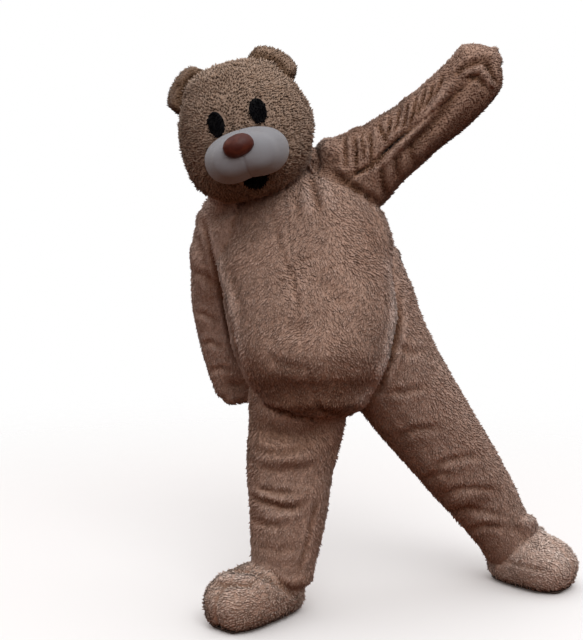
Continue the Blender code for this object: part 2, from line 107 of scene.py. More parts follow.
def makeFloor():
    bm = bmesh.new()
    bmesh.ops.create_circle(bm, cap_ends=True, segments=96, radius=studio["floorRadius"])
    bmesh.ops.translate(bm, verts=bm.verts, vec=(shot["aim"].x, 0, -neckHeight))
    mesh = bpy.data.meshes.new("floor")
    bm.to_mesh(mesh)
    bm.free()
    floor = bpy.data.objects.new("floor", mesh)
    bpy.context.scene.collection.objects.link(floor)
    finish = bpy.data.materials.new("paleFloor")
    finish.use_nodes = True
    tree = finish.node_tree
    tree.nodes.clear()
    link = tree.links.new
    place = addNode(tree, "ShaderNodeTexCoord")
    flat = addNode(tree, "ShaderNodeVectorMath", operation="MULTIPLY")
    flat.inputs[1].default_value = (1, 1, 0)
    away = addNode(tree, "ShaderNodeVectorMath", operation="LENGTH")
    low, high = studio["floorFade"]
    fade = addNode(tree, "ShaderNodeMapRange")
    fade.interpolation_type = "SMOOTHSTEP"
    fade.inputs["From Min"].default_value = low
    fade.inputs["From Max"].default_value = high
    lightPath = addNode(tree, "ShaderNodeLightPath")
    tone = addNode(tree, "ShaderNodeMix", data_type="RGBA")
    tone.inputs["A"].default_value = studio["floorBounce"]
    tone.inputs["B"].default_value = studio["floorColour"]
    matt = addNode(tree, "ShaderNodeBsdfDiffuse")
    clear = addNode(tree, "ShaderNodeBsdfTransparent")
    mixed = addNode(tree, "ShaderNodeMixShader")
    out = addNode(tree, "ShaderNodeOutputMaterial")
    link(place.outputs["Object"], flat.inputs[0])
    link(flat.outputs["Vector"], away.inputs[0])
    link(away.outputs["Value"], fade.inputs["Value"])
    link(lightPath.outputs["Is Camera Ray"], tone.inputs["Factor"])
    link(tone.outputs["Result"], matt.inputs["Color"])
    link(fade.outputs["Result"], mixed.inputs["Fac"])
    link(matt.outputs["BSDF"], mixed.inputs[1])
    link(clear.outputs["BSDF"], mixed.inputs[2])
    link(mixed.outputs["Shader"], out.inputs["Surface"])
    mesh.materials.append(finish)
    print("floor made")


def makeSky():
    world = bpy.data.worlds.new("overcast")
    world.use_nodes = True
    bpy.context.scene.world = world
    tree = world.node_tree
    tree.nodes.clear()
    link = tree.links.new
    place = addNode(tree, "ShaderNodeTexCoord")
    split = addNode(tree, "ShaderNodeSeparateXYZ")
    ramp = addNode(tree, "ShaderNodeValToRGB")
    height = addNode(tree, "ShaderNodeMapRange")
    height.inputs["From Min"].default_value = -1
    stops = ramp.color_ramp.elements
    stops[0].position, stops[0].color = 0.48, studio["skyBelow"]
    stops[1].position, stops[1].color = 1.0, studio["skyTop"]
    side = stops.new(0.68)
    side.color = studio["skySide"]
    glow = addNode(tree, "ShaderNodeBackground", Strength=studio["skyPower"])
    plain = addNode(tree, "ShaderNodeBackground", Color=studio["backdrop"])
    lightPath = addNode(tree, "ShaderNodeLightPath")
    mixed = addNode(tree, "ShaderNodeMixShader")
    out = addNode(tree, "ShaderNodeOutputWorld")
    link(place.outputs["Generated"], split.inputs["Vector"])
    link(split.outputs["Z"], height.inputs["Value"])
    link(height.outputs["Result"], ramp.inputs["Fac"])
    link(ramp.outputs["Color"], glow.inputs["Color"])
    link(lightPath.outputs["Is Camera Ray"], mixed.inputs["Fac"])
    link(glow.outputs["Background"], mixed.inputs[1])
    link(plain.outputs["Background"], mixed.inputs[2])
    link(mixed.outputs["Shader"], out.inputs["Surface"])


def makeLights():
    for name, row in studio["lights"].items():
        data = bpy.data.lights.new(name, "AREA")
        data.energy = row["power"]
        data.size = row["size"]
        lamp = bpy.data.objects.new(name, data)
        lamp.location = row["place"]
        lamp.rotation_mode = "QUATERNION"
        toBear = shot["aim"] - Vector(row["place"])
        lamp.rotation_quaternion = toBear.to_track_quat("-Z", "Y")
        bpy.context.scene.collection.objects.link(lamp)
    bpy.context.scene.view_settings.view_transform = "Standard"
    print("studio lit")


# shader groups, shared by the finishes
def startGroup(name, inputs, outputs):  # inputs and outputs are (name, kind, value) rows
    group = bpy.data.node_groups.new(name, "ShaderNodeTree")
    for label, kind, value in inputs:
        socket = group.interface.new_socket(label, in_out="INPUT", socket_type="NodeSocket" + kind)
        if value is not None:
            socket.default_value = value
    for label, kind in outputs:
        group.interface.new_socket(label, in_out="OUTPUT", socket_type="NodeSocket" + kind)
    return group, addNode(group, "NodeGroupInput"), addNode(group, "NodeGroupOutput")


def mathStep(tree, operation, first, second=None):  # a Math node fed by sockets or numbers
    node = addNode(tree, "ShaderNodeMath", operation=operation)
    for socket, value in zip(node.inputs, (first, second)):
        if isinstance(value, (int, float)):
            socket.default_value = value
        elif value is not None:
            tree.links.new(value, socket)
    return node.outputs["Value"]


def noiseAt(tree, place, scale, detail=2.0, roughness=0.55, distortion=0.0):
    node = addNode(
        tree, "ShaderNodeTexNoise", Scale=scale, Detail=detail, Roughness=roughness,
        Distortion=distortion,
    )
    tree.links.new(place, node.inputs["Vector"])
    return node.outputs["Fac"]


def makePileGroup():  # plush colour: darker at the root as painted shade between the locks, mottled in patches and curls, with the painted light and shade it is given
    group, start, end = startGroup(
        "plushTone",
        [
            ("Place", "Vector", None), ("Root", "Color", (0.05, 0.03, 0.02, 1)),
            ("Tip", "Color", (0.4, 0.3, 0.25, 1)), ("Along", "Float", 1.0),
            ("Tuft", "Float", 0.5), ("Patches", "Float", 0.2), ("Curls", "Float", 0.3),
            ("Painted Light And Shade", "Float", 0.0),
        ],
        [("Colour", "Color"), ("Height", "Float")],
    )
    link = group.links.new
    broad = noiseAt(group, start.outputs["Place"], 7.0)
    curls = noiseAt(group, start.outputs["Place"], 85.0, detail=3.0)
    # darker towards the root: painted shade between the locks
    alongTuft = mathStep(group, "POWER", start.outputs["Along"], 0.8)
    body = addNode(group, "ShaderNodeMix", data_type="RGBA")
    link(alongTuft, body.inputs["Factor"])
    link(start.outputs["Root"], body.inputs["A"])
    link(start.outputs["Tip"], body.inputs["B"])
    patches = mathStep(group, "MULTIPLY", mathStep(group, "SUBTRACT", broad, 0.5), start.outputs["Patches"])
    curl = mathStep(group, "MULTIPLY", mathStep(group, "SUBTRACT", curls, 0.5), start.outputs["Curls"])
    own = mathStep(group, "MULTIPLY", mathStep(group, "SUBTRACT", start.outputs["Tuft"], 0.5), 0.26)
    value = mathStep(group, "ADD", mathStep(group, "ADD", patches, curl), own)
    # painted light and shade: darker where shade falls, lighter where light falls
    paintedShading = mathStep(group, "MULTIPLY", start.outputs["Painted Light And Shade"], 0.55)
    value = mathStep(group, "ADD", value, paintedShading)
    level = addNode(group, "ShaderNodeHueSaturation")
    link(mathStep(group, "ADD", value, 1.0), level.inputs["Value"])
    # saturation follows the tuft's own tone and the painted shade, so that painted shade turns redder
    warmth = mathStep(group, "ADD", own, paintedShading)
    link(mathStep(group, "SUBTRACT", 1.0, mathStep(group, "MULTIPLY", warmth, 0.7)), level.inputs["Saturation"])
    link(body.outputs["Result"], level.inputs["Color"])
    link(level.outputs["Color"], end.inputs["Colour"])
    link(curls, end.inputs["Height"])
    return group


def makeWeaveGroup():  # a fine plain weave with soil and wear, and painted shade between its threads, for every flat cloth
    group, start, end = startGroup(
        "clothWeave",
        [
            ("Place", "Vector", None), ("Colour", "Color", (0.5, 0.5, 0.5, 1)),
            ("Soil", "Color", (0.2, 0.2, 0.2, 1)), ("Threads", "Float", 900.0),
            ("Soil Amount", "Float", 0.3), ("Contrast", "Float", 0.15),
        ],
        [("Colour", "Color"), ("Height", "Float"), ("Mask", "Float")],
    )
    link = group.links.new
    ribs = []
    for axis in ("X", "Z"):
        wave = addNode(group, "ShaderNodeTexWave", wave_type="BANDS", bands_direction=axis, Distortion=0.6)
        link(start.outputs["Place"], wave.inputs["Vector"])
        link(start.outputs["Threads"], wave.inputs["Scale"])
        ribs.append(wave.outputs["Fac"])
    height = mathStep(group, "MULTIPLY", mathStep(group, "ADD", *ribs), 0.5)
    soil = noiseAt(group, start.outputs["Place"], 11.0, detail=4.0, roughness=0.6)
    sharp = addNode(group, "ShaderNodeMapRange")
    sharp.inputs["From Min"].default_value = 0.42
    sharp.inputs["From Max"].default_value = 0.72
    link(soil, sharp.inputs["Value"])
    amount = mathStep(group, "MULTIPLY", sharp.outputs["Result"], start.outputs["Soil Amount"])
    mixed = addNode(group, "ShaderNodeMix", data_type="RGBA")
    link(amount, mixed.inputs["Factor"])
    link(start.outputs["Colour"], mixed.inputs["A"])
    link(start.outputs["Soil"], mixed.inputs["B"])
    level = addNode(group, "ShaderNodeHueSaturation")
    # painted shade: the weave's hollows darker, its ribs lighter
    shade = mathStep(group, "MULTIPLY", mathStep(group, "SUBTRACT", height, 0.5), start.outputs["Contrast"])
    link(mathStep(group, "ADD", shade, 1.0), level.inputs["Value"])
    link(mixed.outputs["Result"], level.inputs["Color"])
    link(level.outputs["Color"], end.inputs["Colour"])
    link(height, end.inputs["Height"])
    link(amount, end.inputs["Mask"])
    return group


def makeGrainGroup():  # a fine pebbled grain with rubbed, glossier spots
    group, start, end = startGroup(
        "rubbedGrain",
        [
            ("Place", "Vector", None), ("Colour", "Color", (0.2, 0.06, 0.04, 1)),
            ("Rubbed", "Color", (0.3, 0.12, 0.08, 1)), ("Grain", "Float", 420.0),
            ("Dull", "Float", 0.5), ("Glossy", "Float", 0.3),
        ],
        [("Colour", "Color"), ("Roughness", "Float"), ("Height", "Float")],
    )
    link = group.links.new
    cells = addNode(group, "ShaderNodeTexVoronoi", feature="SMOOTH_F1")
    link(start.outputs["Place"], cells.inputs["Vector"])
    link(start.outputs["Grain"], cells.inputs["Scale"])
    rubbed = noiseAt(group, start.outputs["Place"], 38.0, detail=3.0)
    mask = addNode(group, "ShaderNodeMapRange")
    mask.inputs["From Min"].default_value = 0.45
    mask.inputs["From Max"].default_value = 0.65
    link(rubbed, mask.inputs["Value"])
    tone = addNode(group, "ShaderNodeMix", data_type="RGBA")
    link(mask.outputs["Result"], tone.inputs["Factor"])
    link(start.outputs["Colour"], tone.inputs["A"])
    link(start.outputs["Rubbed"], tone.inputs["B"])
    gloss = addNode(group, "ShaderNodeMix", data_type="FLOAT")
    link(mask.outputs["Result"], gloss.inputs["Factor"])
    link(start.outputs["Dull"], gloss.inputs["A"])
    link(start.outputs["Glossy"], gloss.inputs["B"])
    link(tone.outputs["Result"], end.inputs["Colour"])
    link(gloss.outputs["Result"], end.inputs["Roughness"])
    link(cells.outputs["Distance"], end.inputs["Height"])
    return group


groups = {"plush": makePileGroup(), "weave": makeWeaveGroup(), "grain": makeGrainGroup()}


def startFinish(name, group, values, roughness, sheen=0.0, shine=0.25):
    finish = bpy.data.materials.new(name)
    finish.use_nodes = True
    tree = finish.node_tree
    shader = tree.nodes["Principled BSDF"]
    shader.inputs["Roughness"].default_value = roughness
    shader.inputs["Sheen Weight"].default_value = sheen
    shader.inputs["Sheen Roughness"].default_value = 0.45
    shader.inputs["Specular IOR Level"].default_value = shine
    place = addNode(tree, "ShaderNodeTexCoord")
    effect = addNode(tree, "ShaderNodeGroup", node_tree=groups[group])
    for key, value in values.items():
        effect.inputs[key].default_value = value
    tree.links.new(place.outputs["Object"], effect.inputs["Place"])
    tree.links.new(effect.outputs["Colour"], shader.inputs["Base Color"])
    return finish, tree, shader, effect


def addRelief(tree, shader, effect, depth):
    bump = addNode(tree, "ShaderNodeBump", Strength=1.0, Distance=depth)
    tree.links.new(effect.outputs["Height"], bump.inputs["Height"])
    tree.links.new(bump.outputs["Normal"], shader.inputs["Normal"])


def makePileFinish(name, row):
    values = {key: row[key] for key in ("Root", "Tip", "Patches", "Curls")}
    finish, tree, shader, effect = startFinish(name, "plush", values, 1.0, sheen=row["sheen"], shine=0.06)
    for socket, attribute in (("Along", "along"), ("Tuft", "tuft"), ("Painted Light And Shade", "fold")):
        reader = addNode(tree, "ShaderNodeAttribute", attribute_name=attribute)
        tree.links.new(reader.outputs["Fac"], effect.inputs[socket])
    own = addNode(tree, "ShaderNodeNewGeometry")
    cloth = addNode(tree, "ShaderNodeAttribute", attribute_name="upright")  # the cloth's normal there
    soft = addNode(tree, "ShaderNodeMix", data_type="VECTOR", Factor=row["softness"])
    even = addNode(tree, "ShaderNodeVectorMath", operation="NORMALIZE")
    tree.links.new(own.outputs["Normal"], soft.inputs[4])
    tree.links.new(cloth.outputs["Vector"], soft.inputs[5])
    tree.links.new(soft.outputs[1], even.inputs[0])
    tree.links.new(even.outputs["Vector"], shader.inputs["Normal"])
    return finish


def makeBaseFinish(name, row):  # the dense foot of the pile, between the locks, in root-dark tones as painted shade
    values = {key: row[key] for key in ("Root", "Tip", "Along", "Patches", "Curls")}
    finish, tree, shader, effect = startFinish(name, "plush", values, 0.95, sheen=0.1)
    reader = addNode(tree, "ShaderNodeAttribute", attribute_name="fold")
    tree.links.new(reader.outputs["Fac"], effect.inputs["Painted Light And Shade"])
    addRelief(tree, shader, effect, row["relief"])
    return finish


def makeWeaveFinish(name, row):
    values = {key: row[key] for key in ("Colour", "Soil", "Threads", "Soil Amount", "Contrast")}
    finish, tree, shader, effect = startFinish(name, "weave", values, row["roughness"], sheen=row["sheen"])
    addRelief(tree, shader, effect, row["relief"])
    return finish


def makeGrainFinish(name, row):
    values = {key: row[key] for key in ("Colour", "Rubbed", "Grain", "Dull", "Glossy")}
    finish, tree, shader, effect = startFinish(name, "grain", values, 0.4)
    tree.links.new(effect.outputs["Roughness"], shader.inputs["Roughness"])
    shader.inputs["Specular IOR Level"].default_value = 0.3
    addRelief(tree, shader, effect, row["relief"])
    return finish


# Root is darker than Tip: painted shade at the foot of the locks
pileTones = {
    "bodyPlush": {
        "Root": (0.330, 0.195, 0.145, 1), "Tip": (0.600, 0.420, 0.335, 1),
        "Patches": 0.36, "Curls": 0.62, "sheen": 0.22, "softness": 0.80,
    },
    "headPlush": {
        "Root": (0.215, 0.135, 0.094, 1), "Tip": (0.500, 0.362, 0.272, 1),
        "Patches": 0.22, "Curls": 0.70, "sheen": 0.20, "softness": 0.84,
    },
    # painted light: the feet's plush is a lighter copy of the body plush
    "footPlush": {
        "Root": (0.400, 0.265, 0.205, 1), "Tip": (0.840, 0.650, 0.545, 1),
        "Patches": 0.18, "Curls": 0.38, "sheen": 0.28, "softness": 0.80,
    },
    "blackPlush": {
        "Root": (0.001, 0.001, 0.002, 1), "Tip": (0.003, 0.003, 0.005, 1),
        "Patches": 0.2, "Curls": 0.3, "sheen": 0.0, "softness": 0.5,
    },
}
# the cloth between the locks, darker like the lock roots: painted shade
baseTones = {
    "bodyBase": {
        "Root": (0.220, 0.125, 0.090, 1), "Tip": (0.560, 0.385, 0.300, 1), "Along": 0.60,
        "Patches": 0.2, "Curls": 0.5, "relief": 0.004,
    },
    "headBase": {
        "Root": (0.150, 0.095, 0.066, 1), "Tip": (0.440, 0.320, 0.245, 1), "Along": 0.50,
        "Patches": 0.16, "Curls": 0.6, "relief": 0.004,
    },
}
clothTones = {
    "muzzleJersey": {
        "Colour": (0.262, 0.268, 0.290, 1), "Soil": (0.19, 0.15, 0.14, 1), "Threads": 1100.0,
        "Soil Amount": 0.22, "Contrast": 0.10, "roughness": 0.72, "sheen": 0.25, "relief": 0.0002,
    },
    "blackFelt": {
        "Colour": (0.002, 0.002, 0.003, 1), "Soil": (0.005, 0.004, 0.004, 1), "Threads": 520.0,
        "Soil Amount": 0.5, "Contrast": 0.3, "roughness": 0.95, "sheen": 0.0, "relief": 0.0004,
    },
    "soleCanvas": {
        "Colour": (0.105, 0.085, 0.075, 1), "Soil": (0.17, 0.15, 0.13, 1), "Threads": 330.0,
        "Soil Amount": 0.6, "Contrast": 0.35, "roughness": 0.85, "sheen": 0.05, "relief": 0.0008,
    },
}
finishes = {name: makePileFinish(name, row) for name, row in pileTones.items()}
finishes.update({name: makeBaseFinish(name, row) for name, row in baseTones.items()})
finishes.update({name: makeWeaveFinish(name, row) for name, row in clothTones.items()})
grainTones = {
    "noseVinyl": {
        "Colour": (0.066, 0.013, 0.008, 1), "Rubbed": (0.105, 0.025, 0.014, 1), "Grain": 620.0,
        "Dull": 0.50, "Glossy": 0.38, "relief": 0.00012,
    },
}
finishes.update({name: makeGrainFinish(name, row) for name, row in grainTones.items()})


# mesh helpers
def fromNodes(*names):  # the named solids of the frame in one mesh, their loose triangles merged
    bm = bmesh.new()
    for name in names:
        bm.from_mesh(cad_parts[name].data)
    bmesh.ops.remove_doubles(bm, verts=bm.verts, dist=1e-5)
    return bm


def linked(name, bm):
    mesh = bpy.data.meshes.new(name)
    bm.to_mesh(mesh)
    bm.free()
    piece = bpy.data.objects.new(name, mesh)
    bpy.context.scene.collection.objects.link(piece)
    return piece


def evened(bm, voxel):  # the same solid with even faces as large as a voxel
    draft = linked("draft", bm)
    step = draft.modifiers.new("even", "REMESH")
    step.mode = "VOXEL"
    step.voxel_size = voxel
    even = bmesh.new()
    even.from_object(draft, bpy.context.evaluated_depsgraph_get())
    bpy.data.objects.remove(draft)
    return even


def smoothed(bm, rounds, keepSize=False):  # keepSize swells after each round, so that ends don't shrink
    inside = [vert for vert in bm.verts if not vert.is_boundary]
    factors = (0.5, -0.52) if keepSize else (0.5,)
    for _ in range(rounds):
        for factor in factors:
            bmesh.ops.smooth_vert(
                bm, verts=inside, factor=factor, use_axis_x=True, use_axis_y=True, use_axis_z=True
            )
    bm.normal_update()


def pointsOf(bm):
    return np.array([vert.co for vert in bm.verts])


def normalsOf(bm):
    bm.normal_update()
    return np.array([vert.normal for vert in bm.verts])


def moveTo(bm, points):
    for vert, point in zip(bm.verts, points):
        vert.co = point
    bm.normal_update()


def dressed(piece, finish, slotName, *nodes):
    piece.data.materials.clear()
    piece.data.materials.append(finishes[finish])
    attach(piece, "root")
    if nodes:
        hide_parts(*nodes)
    return piece


def nearestTree(names):  # one tree of the named nodes, and which node each of its faces is in
    corners, faces, owners = [], [], []
    for index, name in enumerate(names):
        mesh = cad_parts[name].data
        base = len(corners)
        corners += [vert.co.copy() for vert in mesh.vertices]
        faces += [tuple(base + i for i in face.vertices) for face in mesh.polygons]
        owners += [index] * len(mesh.polygons)
    return BVHTree.FromPolygons(corners, faces), owners


def gapToNodes(points, names, reach):  # how far each point is from the named nodes, up to reach
    tree, _ = nearestTree(names)
    found = (tree.find_nearest(point, reach)[3] for point in points)
    return np.array([reach if gap is None else gap for gap in found])


# the panels: limb, flat cut (width, length) and its area's share of that rectangle
panels = {
    "front_left": {"limb": "trunk", "flat": (0.38, 0.92), "share": 0.80},
    "front_right": {"limb": "trunk", "flat": (0.36, 0.90), "share": 0.80},
    "back": {"limb": "trunk", "flat": (0.50, 0.80), "share": 0.77},
    "left_sleeve_upper": {"limb": "leftSleeve", "flat": (0.38, 0.70), "share": 0.83},
    "left_sleeve_under": {"limb": "leftSleeve", "flat": (0.36, 0.68), "share": 0.82},
    "right_sleeve_upper": {"limb": "rightSleeve", "flat": (0.40, 0.78), "share": 0.82},
    "right_sleeve_under": {"limb": "rightSleeve", "flat": (0.19, 0.46), "share": 0.83},
    "left_leg_front": {"limb": "leftLeg", "flat": (0.46, 1.10), "share": 0.80},
    "left_leg_back": {"limb": "leftLeg", "flat": (0.50, 1.14), "share": 0.81},
    "right_leg_front": {"limb": "rightLeg", "flat": (0.36, 0.72), "share": 0.85},
    "right_leg_back": {"limb": "rightLeg", "flat": (0.42, 0.78), "share": 0.85},
    "left_foot_inner": {"limb": "leftFoot", "flat": (0.24, 0.38), "share": 0.76},
    "left_foot_outer": {"limb": "leftFoot", "flat": (0.22, 0.34), "share": 0.75},
    "right_foot_inner": {"limb": "rightFoot", "flat": (0.24, 0.37), "share": 0.76},
    "right_foot_outer": {"limb": "rightFoot", "flat": (0.26, 0.39), "share": 0.76},
}
headPanels = {
    "head_face": {"limb": "head", "flat": (0.60, 0.56), "share": 0.83},
    "head_back": {"limb": "head", "flat": (0.56, 0.53), "share": 0.81},
}
# the middle of each limb as x, y and height, in the order that the nap lies
limbs = {
    "trunk": ((0.05, 0.01, 1.42), (0.11, 0.0, 1.22), (0.163, -0.02, 0.97), (0.173, -0.04, 0.76)),
    "leftSleeve": ((0.25, 0.01, 1.36), (0.417, -0.02, 1.50), (0.593, -0.06, 1.64), (0.70, -0.08, 1.76)),
    "rightSleeve": ((-0.06, 0.03, 1.26), (-0.148, 0.118, 1.05), (-0.12, 0.175, 0.82), (-0.08, 0.19, 0.69)),
    "leftLeg": ((0.28, 0.02, 1.10), (0.37, 0.04, 0.87), (0.576, 0.11, 0.544), (0.84, 0.225, 0.13)),
    "rightLeg": ((0.128, 0.0, 0.84), (0.112, -0.01, 0.61), (0.085, -0.055, 0.333), (0.07, -0.085, 0.13)),
    "leftFoot": ((0.83, 0.26, 0.06), (0.93, 0.18, 0.08), (1.0, 0.12, 0.07)),
    "rightFoot": ((0.08, -0.03, 0.06), (-0.02, -0.14, 0.08), (-0.11, -0.24, 0.07)),
    "head": ((-0.049, -0.048, 1.56), (-0.049, -0.048, 1.52)),
}


def limbPoints(name, step=0.02):
    stops = [Vector((x, y, height - neckHeight)) for x, y, height in limbs[name]]
    points, ways = [], []
    for low, high in zip(stops, stops[1:]):
        count = max(1, int((high - low).length / step))
        for i in range(count):
            points.append(low.lerp(high, i / count))
            ways.append((high - low).normalized())
    points.append(stops[-1])
    ways.append(ways[-1])
    return points, ways


limbTrees = {}
for limbName in limbs:
    spine, ways = limbPoints(limbName)
    tree = KDTree(len(spine))
    for index, point in enumerate(spine):
        tree.insert(point, index)
    tree.balance()
    limbTrees[limbName] = (tree, ways)


def keepOutside(bm, names, rows):  # drops the faces that look inwards, and marks each with its panel
    tree, owners = nearestTree(names)
    mark = bm.faces.layers.int.new("panel")
    inward = []
    for face in bm.faces:
        middle = face.calc_center_median()
        hit = tree.find_nearest(middle)
        owner = owners[hit[2]]
        spineTree, _ = limbTrees[rows[names[owner]]["limb"]]
        core = spineTree.find(middle)[0]
        face[mark] = owner
        if face.normal.dot((middle - core).normalized()) < 0.12:
            inward.append(face)
    bmesh.ops.delete(bm, geom=inward, context="FACES")
    loose = [vert for vert in bm.verts if not vert.link_faces]
    bmesh.ops.delete(bm, geom=loose, context="VERTS")
    return mark


def largestIsland(bm):  # keeps the one connected surface, without scraps
    bm.faces.ensure_lookup_table()
    seen, best = set(), []
    for start in bm.faces:
        if start in seen:
            continue
        island, front = [], [start]
        seen.add(start)
        while front:
            face = front.pop()
            island.append(face)
            for edge in face.edges:
                for other in edge.link_faces:
                    if other not in seen:
                        seen.add(other)
                        front.append(other)
        if len(island) > len(best):
            best = island
    keep = set(best)
    scraps = [face for face in bm.faces if face not in keep]
    bmesh.ops.delete(bm, geom=scraps, context="FACES")


def seamGaps(points, names, reach):  # how far each point is from the second nearest panel
    tree, owners = nearestTree(names)
    gaps = np.full(len(points), reach)
    for i, point in enumerate(points):
        near = {}
        for _, _, face, gap in tree.find_nearest_range(point, reach):
            owner = owners[face]
            if gap < near.get(owner, reach):
                near[owner] = gap
        if len(near) > 1:
            gaps[i] = sorted(near.values())[1]
    return gaps
